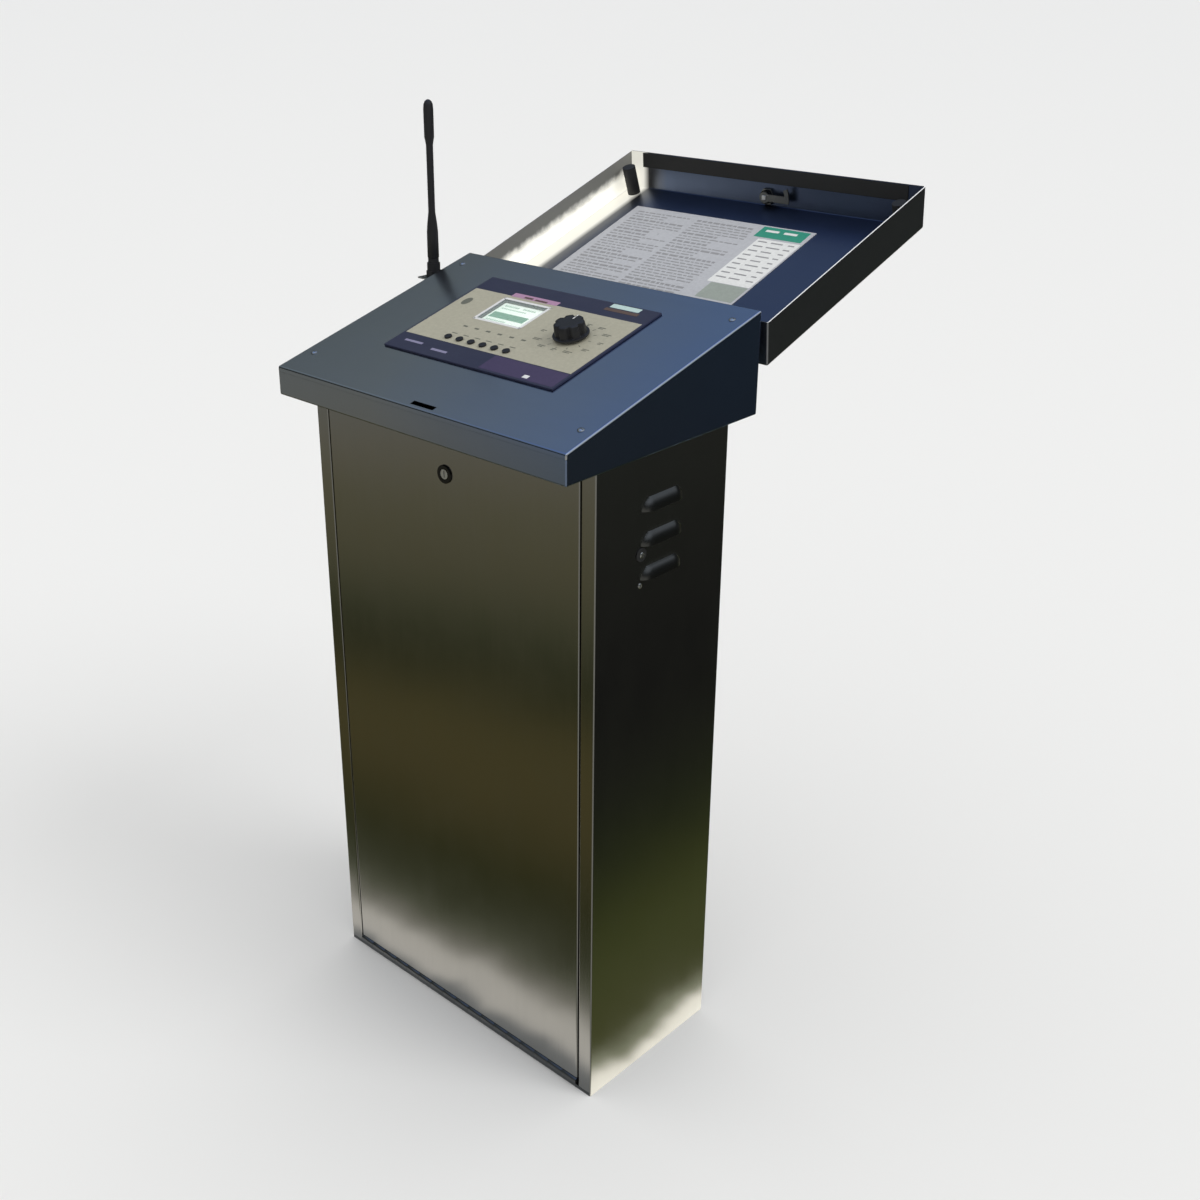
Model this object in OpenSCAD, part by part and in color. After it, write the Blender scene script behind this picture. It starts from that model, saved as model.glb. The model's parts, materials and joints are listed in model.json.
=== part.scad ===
// Free-standing stainless steel control pedestal: a cabinet with a drop-down
// front door, a sloped console head with a dial, six buttons and a display,
// a flip-over lid and a whip antenna. Millimetres, front faces -Y, +Z up,
// origin on the floor at the centre of the anchor holes.

/* [Cabinet] */
// Width of the cabinet
body_w = 457; // [440:1:560]
// Depth of the cabinet
body_d = 222; // [210:1:280]
// Height of the cabinet up to the underside of the head
body_h = 822; // [680:1:1000]
// Thickness of the sheet metal
sheet = 1.5; // [1.2:0.1:2]
// Thickness of the base plate
base_t = 4; // [3:0.5:6]
// Width of the frame strip on each side of the door
frame_strip = 20.5; // [18:0.5:26]
// Depth of the jamb folded in behind each frame strip
jamb_d = 16; // [15:0.5:20]

/* [Anchoring] */
// Distance between the anchor holes across the width
anchor_x = 380; // [300:1:400]
// Distance between the anchor holes across the depth
anchor_y = 150; // [120:1:170]
// Diameter of each anchor hole
anchor_dia = 14; // [10:0.5:18]
// Diameter of the cable opening in the base
conduit_dia = 100; // [50:1:110]

/* [Door] */
// Gap between the door and its frame
door_gap = 2; // [0.8:0.1:3]
// Depth of the door's folded edges
door_fold = 12; // [10:0.5:13]
// Height of the door hinge axis above the floor
door_axis_z = 10.5; // [10.5:0.5:14]
// Outer radius of the door hinge knuckles
door_knuckle_r = 4.5; // [4:0.1:4.8]
// Radius of the door hinge pin
door_pin_r = 2; // [1.5:0.1:2.5]
// Number of knuckles on the door hinge
door_knuckles = 17; // [9:2:25]
// Distance of the door lock below the head
door_lock_drop = 57; // [50:1:90]

/* [Head] */
// Slope of the console
head_slope = 15; // [10:0.5:20]
// Height of the head at its front
head_front_h = 35; // [30:1:50]
// Overhang of the head at the front
head_front_over = 50; // [40:1:60]
// Overhang of the head at the back
head_back_over = 47; // [40:1:60]
// Overhang of the head at each side
head_side_over = 4.5; // [4:0.5:10]
// Height of the skirt folded down around the console plate
skirt_h = 6; // [5:0.5:8]
// Depth of the frame that stands up inside that skirt
upstand_h = 18; // [14:1:24]

/* [Lid] */
// Gap between the lid and the head all round
lid_gap = 1.3; // [1.2:0.1:2]
// Height of the lid's rim
lid_rim_h = 51; // [48:1:60]
// How far the closed lid reaches down over the head
lid_overlap = 8; // [6:0.5:9]
// Angle that the lid swings open
lid_open = 176; // [90:1:177]
// Distance of the lid hinge axis behind the head
lid_axis_back = 5.6; // [5.4:0.1:6.5]
// Outer radius of the lid hinge knuckles
lid_knuckle_r = 3.5; // [3:0.1:3.6]
// Radius of the lid hinge pin
lid_pin_r = 1.5; // [1.2:0.1:1.8]
// Number of knuckles on the lid hinge
lid_knuckles = 19; // [9:2:25]
// Width of the instruction plate in the lid
placard_w = 297; // [200:1:300]
// Height of the instruction plate in the lid
placard_h = 200; // [150:1:210]
// Distance of the instruction plate from the lid's hinge end
placard_off = 80; // [50:1:100]

/* [Console] */
// Width of the control fascia
fascia_w = 272; // [260:1:300]
// Height of the control fascia
fascia_h = 188; // [180:1:200]
// Thickness of the control fascia
fascia_t = 2.5; // [2:0.5:4]
// Width of the display window
window_w = 70; // [50:1:76]
// Height of the display window
window_h = 50; // [40:1:54]
// Diameter of a button cap
button_dia = 9.2; // [6:0.2:12]
// Distance between buttons
button_pitch = 19; // [16:0.5:22]
// Travel of a button
button_travel = 1.2; // [0.8:0.1:1.5]
// Diameter of the dial
dial_dia = 43; // [36:1:50]
// Height of the dial
dial_h = 17; // [12:1:20]

/* [Locks] */
// Diameter of a lock's threaded barrel
lock_dia = 18; // [16:0.5:19]
// Height of the lid lock's axis below the lid's panel
lid_lock_drop = 13; // [12:0.5:16]

/* [Antenna] */
// Distance of the antenna outside the head
antenna_off = 30; // [26:1:40]
// Length of the antenna above its bracket
antenna_len = 223; // [150:1:260]

/* [Louvres] */
// Number of louvres on each side
louvres = 3; // [1:1:4]
// Distance between louvres
louvre_pitch = 40; // [32:1:50]
// Length of a louvre
louvre_len = 68; // [50:1:90]

/* [Hidden] */
$fn = 48;

// Small clearances that fits are made with
run_clear = 0.05;
part_clear = 0.35;
seat_clear = 0.2;
cut = 1;

// Cabinet
front_y = -body_d / 2;
back_y = body_d / 2;
inner_x = body_w / 2 - sheet;
door_edge_x = body_w / 2 - frame_strip - door_gap;
lip_d = 3.2;
lip_h = 0.8;

// Head
head_w = body_w + 2 * head_side_over;
head_front_y = front_y - head_front_over;
head_back_y = back_y + head_back_over;
head_d = head_back_y - head_front_y;
slope_len = head_d / cos(head_slope);
head_back_z = body_h + head_front_h + head_d * tan(head_slope);
mouth_margin = 18;
frame_flange = 30;

// Lid, drawn closed and swung open about its hinge
lid_w = head_w + 2 * (lid_gap + sheet);
lid_front_y = head_front_y - lid_gap - sheet;
lid_back_y = head_back_y + lid_gap + sheet;
lid_rise = lid_rim_h - lid_overlap;
lid_axis_y = head_back_y + lid_axis_back;
lid_axis_z = slope_z(lid_back_y) - lid_overlap - lid_knuckle_r - 0.7;
lid_leaf_t = 1.2;
lid_leaf_h = 24;
lid_lock_z = slope_z(lid_front_y) + lid_rise - lid_lock_drop;

// Console layout, measured across and up the slope
fascia_u = -5;
fascia_v = 186;
case_w = fascia_w - 12;
case_h = fascia_h - 12;
case_d = 42;
case_wall = 2.5;
board_t = 1.6;
board_top = -13;
window_u = -43;
window_v = 213;
button_u = -27;
button_v = 136;
dial_u = 70;
dial_v = 193;
shaft_r = 3;
screw_u = head_w / 2 - 18;
screw_v = [43, 299];
hook_x = 3;

// Door hinge and lock
door_axis_y = front_y + sheet;
door_leaf_t = 1.5;
door_leaf_h = 36;
door_foot_z = door_axis_z + door_knuckle_r + 0.8;
door_top_z = body_h - 2;
door_len = 2 * door_edge_x;
header_y = front_y + jamb_d - sheet;
header_h = 32;
door_lock_z = body_h - door_lock_drop;
door_cam_len = door_lock_drop - header_h + 13;

// Locks
lock_head_r = lock_dia / 2 + 2;
plug_r = lock_dia / 2 - 3;
lid_hook_y = 9.2;
lid_hook_r = lid_rise - lid_lock_drop + 9.5;

// Antenna
antenna_x = -(head_w / 2 + antenna_off);
antenna_y = 121;
bracket_z = slope_z(antenna_y) - lid_overlap - 12;
bracket_t = 2;
feed_r = 4;
feed_z = bracket_z - 20;

// Louvres
louvre_top = 49;
louvre_r = 18;
louvre_proud = 7.5;
louvre_y = -3;
plug_y = -37;
plug_z = body_h - 113;
plug_drop = 37;
plug_dia = 10;

// Equipment inside
board_gap = 18;
backboard_t = 3;
backboard_y = back_y - sheet - board_gap - backboard_t;

// Height of the top of the console at a place along Y, less a depth square to it
function slope_z(y, depth = 0) =
    body_h + head_front_h + (y - head_front_y) * tan(head_slope) - depth / cos(head_slope);

// Places children across (x), up (y) and out of (z) the slope of the console
module on_slope() {
    translate([0, head_front_y, body_h + head_front_h]) rotate([head_slope, 0, 0]) children();
}

// Swings the closed lid's pieces open
module swung_open() {
    translate([0, lid_axis_y, lid_axis_z])
        rotate([-lid_open, 0, 0])
            translate([0, -lid_axis_y, -lid_axis_z]) children();
}

// A solid w wide between two Y positions, its ends square to the floor, from
// one line to another; each line is a height at the low end of the slope
module wedge(w, y0, y1, z0, z1, slanted_foot = true) {
    rise = (y1 - y0) * tan(head_slope);
    rotate([90, 0, 90])
        linear_extrude(height = w, center = true)
            polygon([[y0, z0], [y1, z0 + (slanted_foot ? rise : 0)], [y1, z1 + rise], [y0, z1]]);
}

module box_at(x, y, z) {
    translate([x[0], y[0], z[0]]) cube([x[1] - x[0], y[1] - y[0], z[1] - z[0]]);
}

// A cylinder along X from x0 to x1
module rod_x(r, x0, x1) {
    translate([x0, 0, 0]) rotate([0, 90, 0]) cylinder(r = r, h = x1 - x0);
}

// A cylinder along +Y from y0 to y1
module rod_y(r, y0, y1) {
    translate([0, y0, 0]) rotate([-90, 0, 0]) cylinder(r = r, h = y1 - y0);
}

// Every second knuckle of a continuous hinge along X, first 0 or 1
module knuckles(len, count, first, r, bore) {
    pitch = len / count;
    for (i = [first : 2 : count - 1])
        difference() {
            rod_x(r, -len / 2 + i * pitch + 0.2, -len / 2 + (i + 1) * pitch - 0.2);
            rod_x(bore, -len / 2 + i * pitch - cut, -len / 2 + (i + 1) * pitch + cut);
        }
}

// Removes what lies within r of the X axis wherever the other leaf's knuckles are
module knuckle_notches(len, count, first, r) {
    pitch = len / count;
    for (i = [first : 2 : count - 1])
        rod_x(r, -len / 2 + i * pitch - 0.2, -len / 2 + (i + 1) * pitch + 0.2);
}

// A pan-head screw standing on z = 0, its shank below
module pan_screw(r, shank_r, shank_len) {
    difference() {
        intersection() {
            cylinder(r = r, h = r * 0.55);
            translate([0, 0, -r * 0.9]) sphere(r = r * 1.45);
        }
        translate([-r, -0.6, r * 0.3]) cube([2 * r, 1.2, r]);
    }
    translate([0, 0, -shank_len]) cylinder(r = shank_r, h = shank_len);
}

// ---- Cabinet

module base_plate() {
    color("silver") difference() {
        union() {
            box_at([-inner_x, inner_x], [front_y + lip_d, back_y - sheet], [0, base_t]);
            box_at([-inner_x, inner_x], [front_y, front_y + lip_d], [0, base_t + lip_h]);
        }
        for (x = [-1, 1], y = [-1, 1])
            translate([x * anchor_x / 2, y * anchor_y / 2, -cut]) cylinder(d = anchor_dia, h = base_t + 2 * cut);
        translate([0, 0, -cut]) cylinder(d = conduit_dia, h = base_t + 2 * cut);
    }
}

// One pressed hood: a bulge that opens downwards, on the face x = 0
module louvre_hood(r) {
    half = louvre_len / 2 - sqrt(louvre_r * louvre_r - pow(louvre_r - louvre_proud, 2));
    translate([louvre_proud - louvre_r, 0, 0]) {
        rotate([90, 0, 0]) cylinder(r = r, h = 2 * half, center = true);
        for (s = [-1, 1]) translate([0, s * half, 0]) sphere(r = r);
    }
}

// Louvres on the outside of a right-hand panel whose outer face is x = 0
module louvre_bank(hollow) {
    hood_h = sqrt(louvre_r * louvre_r - pow(louvre_r - louvre_proud, 2));
    for (i = [0 : louvres - 1])
        translate([0, louvre_y, body_h - louvre_top - hood_h - i * louvre_pitch])
            intersection() {
                louvre_hood(hollow ? louvre_r - sheet : louvre_r);
                translate([hollow ? -2 * sheet : -sheet / 2, -louvre_len, hollow ? -cut : 0])
                    cube([louvre_r, 2 * louvre_len, louvre_r + cut]);
            }
}

module side_panel(plugged) {
    difference() {
        union() {
            box_at([inner_x, body_w / 2], [front_y, back_y], [0, body_h]);
            box_at([body_w / 2 - frame_strip, inner_x + sheet / 2], [front_y, front_y + sheet], [0, body_h]);
            box_at([body_w / 2 - frame_strip, body_w / 2 - frame_strip + sheet],
                [front_y, front_y + jamb_d - sheet - 0.5], [base_t + 2 * sheet, body_h]);
            translate([body_w / 2, 0, 0]) louvre_bank(false);
        }
        translate([body_w / 2, 0, 0]) louvre_bank(true);
        if (plugged) {
            translate([body_w / 2, plug_y, plug_z]) rod_x(plug_dia / 2 + 0.2, -2 * sheet, sheet);
            translate([body_w / 2, plug_y, plug_z - plug_drop]) rod_x(2.2, -2 * sheet, sheet);
        }
        // The base plate's front lip runs below the strip
        box_at([0, inner_x + 0.01], [front_y - cut, front_y + lip_d + 0.2], [-cut, base_t + lip_h + 0.2]);
    }
}

module left_side_panel() {
    color("darkgray") mirror([1, 0, 0]) side_panel(false);
}

module right_side_panel() {
    color("darkgray") side_panel(true);
}

module back_panel() {
    color("darkgray") box_at([-inner_x, inner_x], [back_y - sheet, back_y], [0, body_h]);
}

// Angle over the door that closes the frame and catches the lock's cam
module door_header() {
    color("silver") {
        box_at([-inner_x, inner_x], [header_y, header_y + sheet], [body_h - header_h, body_h]);
        box_at([-inner_x, inner_x], [header_y + sheet, header_y + 20], [body_h - sheet, body_h]);
    }
}

// Leaf screwed to the base plate and stood up to the axis
module frame_hinge_leaf() {
    color("silver") {
        translate([0, door_axis_y, door_axis_z])
            knuckles(door_len, door_knuckles, 0, door_knuckle_r, door_pin_r + run_clear);
        difference() {
            union() {
                box_at([-door_edge_x, door_edge_x], [door_axis_y + 1.7, door_axis_y + 1.7 + door_leaf_t],
                    [base_t, door_axis_z]);
                box_at([-door_edge_x, door_edge_x], [door_axis_y + 1.7, door_axis_y + 28],
                    [base_t, base_t + door_leaf_t]);
            }
            translate([0, door_axis_y, door_axis_z]) {
                knuckle_notches(door_len, door_knuckles, 1, door_knuckle_r + 0.5);
                rod_x(door_pin_r + run_clear, -body_w, body_w);
            }
        }
    }
}

module door_hinge_pin() {
    color("gray") translate([0, door_axis_y, door_axis_z]) rod_x(door_pin_r, -door_len / 2, door_len / 2);
}

module vent_screens() {
    margin = 8;
    top = body_h - louvre_top + 12;
    color("dimgray") difference() {
        for (s = [-1, 1])
            box_at([s * (inner_x - 0.5) - 0.5, s * (inner_x - 0.5) + 0.5],
                [louvre_y - louvre_len / 2 - margin, louvre_y + louvre_len / 2 + margin],
                [top - louvres * louvre_pitch, top]);
        translate([0, plug_y, plug_z]) rod_x(plug_dia / 2 + 1.3, 0, body_w);
        translate([0, plug_y, plug_z - plug_drop]) rod_x(4, 0, body_w);
    }
}

module side_plug() {
    color("black") translate([body_w / 2, plug_y, plug_z]) difference() {
        union() {
            rod_x(8, 0, 1.6);
            rod_x(plug_dia / 2, -sheet - 2, 0);
        }
        rod_x(2.05, -4 * sheet, sheet * 2);
    }
}

module side_screws() {
    color("silver") {
        translate([body_w / 2 + 1.6, plug_y, plug_z]) rotate([0, 90, 0]) pan_screw(3.6, 2, 8);
        translate([body_w / 2, plug_y, plug_z - plug_drop]) rotate([0, 90, 0]) pan_screw(3.2, 2, 8);
    }
}

// ---- Door

module door_panel() {
    color("darkgray") difference() {
        union() {
            box_at([-door_edge_x, door_edge_x], [front_y, front_y + sheet], [door_foot_z, door_top_z]);
            for (s = [-1, 1])
                box_at([s * (door_edge_x - sheet / 2) - sheet / 2, s * (door_edge_x - sheet / 2) + sheet / 2],
                    [front_y, front_y + door_fold], [door_foot_z, door_top_z]);
            box_at([-door_edge_x, door_edge_x], [front_y, front_y + door_fold], [door_top_z - sheet, door_top_z]);
        }
        translate([0, 0, door_lock_z]) rod_y(lock_dia / 2, front_y - cut, front_y + 2 * sheet);
        for (s = [-1, 1])
            box_at([s * door_edge_x - 2 * sheet, s * door_edge_x + 2 * sheet],
                [front_y + sheet, front_y + door_fold + cut], [0, door_foot_z + door_leaf_h]);
    }
}

module door_hinge_leaf() {
    color("silver") {
        translate([0, door_axis_y, door_axis_z])
            knuckles(door_len, door_knuckles, 1, door_knuckle_r, door_pin_r + run_clear);
        difference() {
            box_at([-door_edge_x + 0.5, door_edge_x - 0.5], [door_axis_y, door_axis_y + door_leaf_t],
                [door_axis_z, door_axis_z + door_leaf_h]);
            translate([0, door_axis_y, door_axis_z]) {
                knuckle_notches(door_len, door_knuckles, 0, door_knuckle_r + 0.5);
                rod_x(door_pin_r + run_clear, -body_w, body_w);
            }
        }
    }
}

// ---- Cam locks, drawn with the sheet's outer face on y = 0 and the key side at -y

module lock_barrel(reach) {
    difference() {
        union() {
            rod_y(lock_head_r, -2, 0);
            rod_y(lock_dia / 2, 0, reach);
        }
        rod_y(plug_r + run_clear, -3, reach + cut);
    }
}

module lock_nut(at) {
    translate([0, at, 0]) rotate([-90, 0, 0]) difference() {
        cylinder(d = lock_dia + 6, h = 3.5, $fn = 6);
        translate([0, 0, -cut]) cylinder(d = lock_dia, h = 3.5 + 2 * cut);
    }
}

// Turning core with its keyway and the square that drives the cam
module lock_plug(reach, cam_t) {
    difference() {
        union() {
            rod_y(plug_r, -1.6, reach);
            translate([-3, reach, -3]) cube([6, cam_t + 1, 6]);
        }
        translate([-0.8, -2, -4]) cube([1.6, 8, 8]);
    }
}

module door_lock_barrel() {
    color("silver") translate([0, front_y, door_lock_z]) lock_barrel(jamb_d - 1.2);
}

module door_lock_nut() {
    color("gray") translate([0, front_y, door_lock_z]) lock_nut(sheet);
}

module door_lock_plug() {
    color("gray") translate([0, front_y, door_lock_z]) lock_plug(jamb_d + 0.6, 2);
}

module door_lock_cam() {
    color("silver") translate([0, front_y + jamb_d + 0.6, door_lock_z]) difference() {
        union() {
            rod_y(8, 0, 2);
            translate([0, 0, -8]) cube([door_cam_len - 8, 2, 16]);
            translate([door_cam_len - 8, 0, 0]) rod_y(8, 0, 2);
        }
        translate([-3, -cut, -3]) cube([6, 4, 6]);
    }
}

// ---- Head

module head_shell() {
    low = body_h + head_front_h;
    slot = head_w / 2 - frame_flange;
    color("lightslategray") difference() {
        union() {
            wedge(head_w, head_front_y, head_back_y, body_h, low - skirt_h, false);
            wedge(head_w - 2 * (sheet + seat_clear), head_front_y + sheet + seat_clear,
                head_back_y - sheet - seat_clear, body_h,
                slope_z(head_front_y + sheet + seat_clear, sheet), false);
        }
        // Room below the upstand, then room inside it
        wedge(head_w - 2 * sheet, head_front_y + sheet, head_back_y - sheet, body_h + sheet,
            low - upstand_h, false);
        wedge(head_w - 4 * sheet - 2 * seat_clear, head_front_y + 2 * sheet + seat_clear,
            head_back_y - 2 * sheet - seat_clear, body_h + sheet,
            slope_z(head_front_y + 2 * sheet + seat_clear, 2 * sheet), false);
        // Console opening
        on_slope() box_at([-slot, slot], [4, slope_len - 16], [-3 * sheet, cut]);
        // Mouth over the cabinet
        box_at([-body_w / 2 + mouth_margin, body_w / 2 - mouth_margin],
            [front_y + mouth_margin + 10, back_y - mouth_margin], [body_h - cut, body_h + 2 * sheet]);
        translate([0, antenna_y, feed_z]) rod_x(feed_r + 0.5, -head_w / 2 - cut, -head_w / 2 + 3 * sheet);
        on_slope() console_screw_places() translate([0, 0, -8]) cylinder(r = 2, h = 10);
    }
}

module console_screw_places() {
    for (s = [-1, 1], v = screw_v) translate([s * screw_u, v, 0]) children();
}

// Inverted tray that caps the head
module console_plate() {
    low = body_h + head_front_h;
    color("slategray") difference() {
        wedge(head_w, head_front_y, head_back_y, low - skirt_h, low);
        wedge(head_w - 2 * sheet, head_front_y + sheet, head_back_y - sheet, low - 2 * skirt_h,
            slope_z(head_front_y + sheet, sheet));
        on_slope() {
            box_at([fascia_u - case_w / 2 - 0.5, fascia_u + case_w / 2 + 0.5],
                [fascia_v - case_h / 2 - 0.5, fascia_v + case_h / 2 + 0.5], [-3 * sheet, cut]);
            box_at([hook_x - 6, hook_x + 30], [5, 12], [-3 * sheet, cut]);
            console_screw_places() translate([0, 0, -4]) cylinder(r = 2.05, h = 6);
        }
    }
}

module console_screws() {
    color("white") on_slope() console_screw_places() pan_screw(4, 1.95, 7);
}

module head_hinge_leaf() {
    color("silver") {
        translate([0, lid_axis_y, lid_axis_z])
            knuckles(head_w - 30, lid_knuckles, 0, lid_knuckle_r, lid_pin_r + run_clear);
        difference() {
            union() {
                box_at([-head_w / 2 + 15, head_w / 2 - 15], [head_back_y, head_back_y + lid_leaf_t],
                    [lid_axis_z - lid_leaf_h, lid_axis_z - lid_knuckle_r + 1]);
                box_at([-head_w / 2 + 15, head_w / 2 - 15], [head_back_y, lid_axis_y],
                    [lid_axis_z - lid_knuckle_r, lid_axis_z - lid_knuckle_r + lid_leaf_t]);
            }
            translate([0, lid_axis_y, lid_axis_z]) {
                knuckle_notches(head_w - 30, lid_knuckles, 1, lid_knuckle_r + 0.4);
                rod_x(lid_pin_r + run_clear, -head_w, head_w);
            }
        }
    }
}

module lid_hinge_pin() {
    color("gray") translate([0, lid_axis_y, lid_axis_z])
        rod_x(lid_pin_r, -head_w / 2 + 15, head_w / 2 - 15);
}

// Rubber buffers behind the head that the open lid leans on
module lid_stops() {
    stop_drop = 36;
    reach = 2 * lid_axis_back - lid_gap - sheet + (stop_drop - 8) * tan(180 - lid_open) - 0.3;
    color("black") for (s = [-1, 1])
        translate([s * head_w * 0.36, head_back_y, lid_axis_z - stop_drop]) rod_y(8, 0, reach);
}

// ---- Controller

module control_fascia() {
    color("tan") on_slope() difference() {
        translate([fascia_u, fascia_v, fascia_t / 2]) cube([fascia_w, fascia_h, fascia_t], center = true);
        translate([window_u, window_v, 0]) {
            cube([window_w - 4, window_h - 4, 3 * fascia_t], center = true);
            translate([0, 0, fascia_t]) cube([window_w + 0.4, window_h + 0.4, 3], center = true);
        }
        button_places() translate([0, 0, -cut]) cylinder(r = button_dia / 2 + part_clear, h = 2 * fascia_t + cut);
        translate([dial_u, dial_v, -cut]) cylinder(r = 4.7, h = 2 * fascia_t);
    }
}

module button_places() {
    for (i = [0 : 5]) translate([button_u + (i - 2.5) * button_pitch, button_v, 0]) children();
}

module lcd_window() {
    color("palegreen") on_slope() translate([window_u, window_v, fascia_t - 0.75])
        cube([window_w, window_h, 1.3], center = true);
}

module lcd_module() {
    color("darkgreen") on_slope() translate([window_u, window_v, -5])
        cube([window_w + 10, window_h + 10, 8], center = true);
}

module main_board() {
    color("green") on_slope() {
        difference() {
            translate([fascia_u, fascia_v, board_top - board_t / 2])
                cube([case_w - 12, case_h - 12, board_t], center = true);
            board_corners() translate([0, 0, board_top - 5]) cylinder(r = 1.8, h = 10);
        }
        for (i = [0 : 3])
            translate([fascia_u - 70 + i * 45, fascia_v - 10, board_top - board_t - 3]) cube([22, 14, 3]);
        translate([fascia_u - 60, fascia_v - case_h / 2 + 10, board_top - board_t - 12]) cube([120, 10, 12]);
    }
}

module key_switches() {
    color("dimgray") on_slope() button_places()
        translate([-6, -6, board_top]) cube([12, 12, -board_top - 4 - button_travel]);
}

module dial_switch() {
    color("dimgray") on_slope() translate([dial_u, dial_v, 0]) difference() {
        union() {
            translate([0, 0, board_top]) cylinder(r = 13, h = 9);
            translate([0, 0, board_top + 9]) cylinder(r = 4.5, h = fascia_t + 2.4 - board_top - 9);
        }
        translate([0, 0, board_top + 1]) cylinder(r = shaft_r + run_clear, h = 40);
    }
}

// Open tub under the fascia, with a post under each corner of the board
module controller_case() {
    color("dimgray") on_slope() difference() {
        union() {
            difference() {
                translate([fascia_u, fascia_v, -case_d / 2]) cube([case_w, case_h, case_d], center = true);
                translate([fascia_u, fascia_v, -case_d / 2 + case_wall])
                    cube([case_w - 2 * case_wall, case_h - 2 * case_wall, case_d], center = true);
            }
            board_corners() translate([0, 0, -case_d + 1]) cylinder(r = 4, h = case_d - 1 + board_top - board_t);
        }
        board_corners() translate([0, 0, board_top - board_t - 9]) cylinder(r = 1.8, h = 10);
        translate([fascia_u + 60, fascia_v, -case_d]) cylinder(r = 12, h = 3 * case_wall, center = true);
    }
}

module board_corners() {
    for (s = [-1, 1], t = [-1, 1])
        translate([fascia_u + s * (case_w / 2 - 12), fascia_v + t * (case_h / 2 - 12), 0]) children();
}

module case_screws() {
    color("silver") on_slope() board_corners() translate([0, 0, board_top]) pan_screw(3, 1.75, board_t + 8);
}

module dial_knob() {
    foot = fascia_t + 2.9;
    color("black") on_slope() translate([dial_u, dial_v, foot]) difference() {
        union() {
            cylinder(d = dial_dia, h = 2.5);
            difference() {
                cylinder(d = dial_dia - 6, h = dial_h);
                for (i = [0 : 6]) rotate(i * 360 / 7)
                    translate([dial_dia / 2 + 1.5, 0, 2.5]) cylinder(r = 7, h = dial_h);
            }
        }
        translate([0, 0, -cut]) cylinder(r = shaft_r, h = dial_h - 4);
        translate([-0.8, 6, dial_h - 1]) cube([1.6, dial_dia / 2, 2]);
    }
}

module dial_shaft() {
    color("silver") on_slope() translate([dial_u, dial_v, board_top + 1.4])
        cylinder(r = shaft_r, h = fascia_t + 2.9 + dial_h - 6 - board_top - 1.4);
}

module button(i) {
    color("black") on_slope() translate([button_u + (i - 2.5) * button_pitch, button_v, 0]) {
        translate([0, 0, -1]) cylinder(r = button_dia / 2, h = fascia_t + 3.2);
        translate([0, 0, -2]) cylinder(r = button_dia / 2 + 1.4, h = 1.6);
        translate([0, 0, -3.7]) cylinder(r = 2, h = 2);
    }
}

module button_1() { button(0); }
module button_2() { button(1); }
module button_3() { button(2); }
module button_4() { button(3); }
module button_5() { button(4); }
module button_6() { button(5); }

// ---- Lid

module lid_shell() {
    low = slope_z(lid_front_y);
    color("lightslategray") swung_open() difference() {
        wedge(lid_w, lid_front_y, lid_back_y, low - lid_overlap, low + lid_rise);
        wedge(lid_w - 2 * sheet, lid_front_y + sheet, lid_back_y - sheet, low - 2 * lid_overlap,
            slope_z(lid_front_y + sheet, sheet) + lid_rise);
        translate([hook_x, 0, lid_lock_z]) rod_y(lock_dia / 2, lid_front_y - cut, lid_front_y + 2 * sheet);
    }
}

module lid_hinge_leaf() {
    color("silver") swung_open() {
        translate([0, lid_axis_y, lid_axis_z])
            knuckles(head_w - 30, lid_knuckles, 1, lid_knuckle_r, lid_pin_r + run_clear);
        difference() {
            box_at([-head_w / 2 + 15, head_w / 2 - 15], [lid_back_y, lid_back_y + lid_leaf_t],
                [lid_axis_z, lid_axis_z + lid_leaf_h]);
            translate([0, lid_axis_y, lid_axis_z]) {
                knuckle_notches(head_w - 30, lid_knuckles, 0, lid_knuckle_r + 0.4);
                rod_x(lid_pin_r + run_clear, -head_w, head_w);
            }
        }
    }
}

// Places children on the inside of the closed lid's panel: across, up the slope and away from it
module in_lid() {
    swung_open() translate([0, 0, lid_rise]) on_slope() translate([0, 0, -sheet]) mirror([0, 0, 1]) children();
}

module lid_placard() {
    color("whitesmoke") in_lid() translate([-placard_w / 2 - 34, slope_len - placard_off - placard_h, 0])
        cube([placard_w, placard_h, 1]);
}

// Flat seal inside the lid's front rim
module lid_seal() {
    color("black") swung_open()
        box_at([-head_w / 2 + 20, head_w / 2 - 20], [lid_front_y + sheet, lid_front_y + sheet + lid_gap - part_clear],
            [slope_z(lid_front_y) - lid_overlap + 1, slope_z(lid_front_y) - lid_overlap + 21]);
}

module lid_bumpers() {
    reach = lid_rise * cos(head_slope) - sheet - 0.5;
    color("black") in_lid() for (s = [-1, 1])
        translate([s * (head_w / 2 - 16), 16, 0]) cylinder(r = 9, h = reach);
}

module lid_lock_barrel() {
    color("silver") swung_open() translate([hook_x, lid_front_y, lid_lock_z]) lock_barrel(sheet + 7.2);
}

module lid_lock_nut() {
    color("gray") swung_open() translate([hook_x, lid_front_y, lid_lock_z]) lock_nut(sheet);
}

module lid_lock_plug() {
    color("gray") swung_open() translate([hook_x, lid_front_y, lid_lock_z]) lock_plug(lid_hook_y, 2);
}

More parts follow.
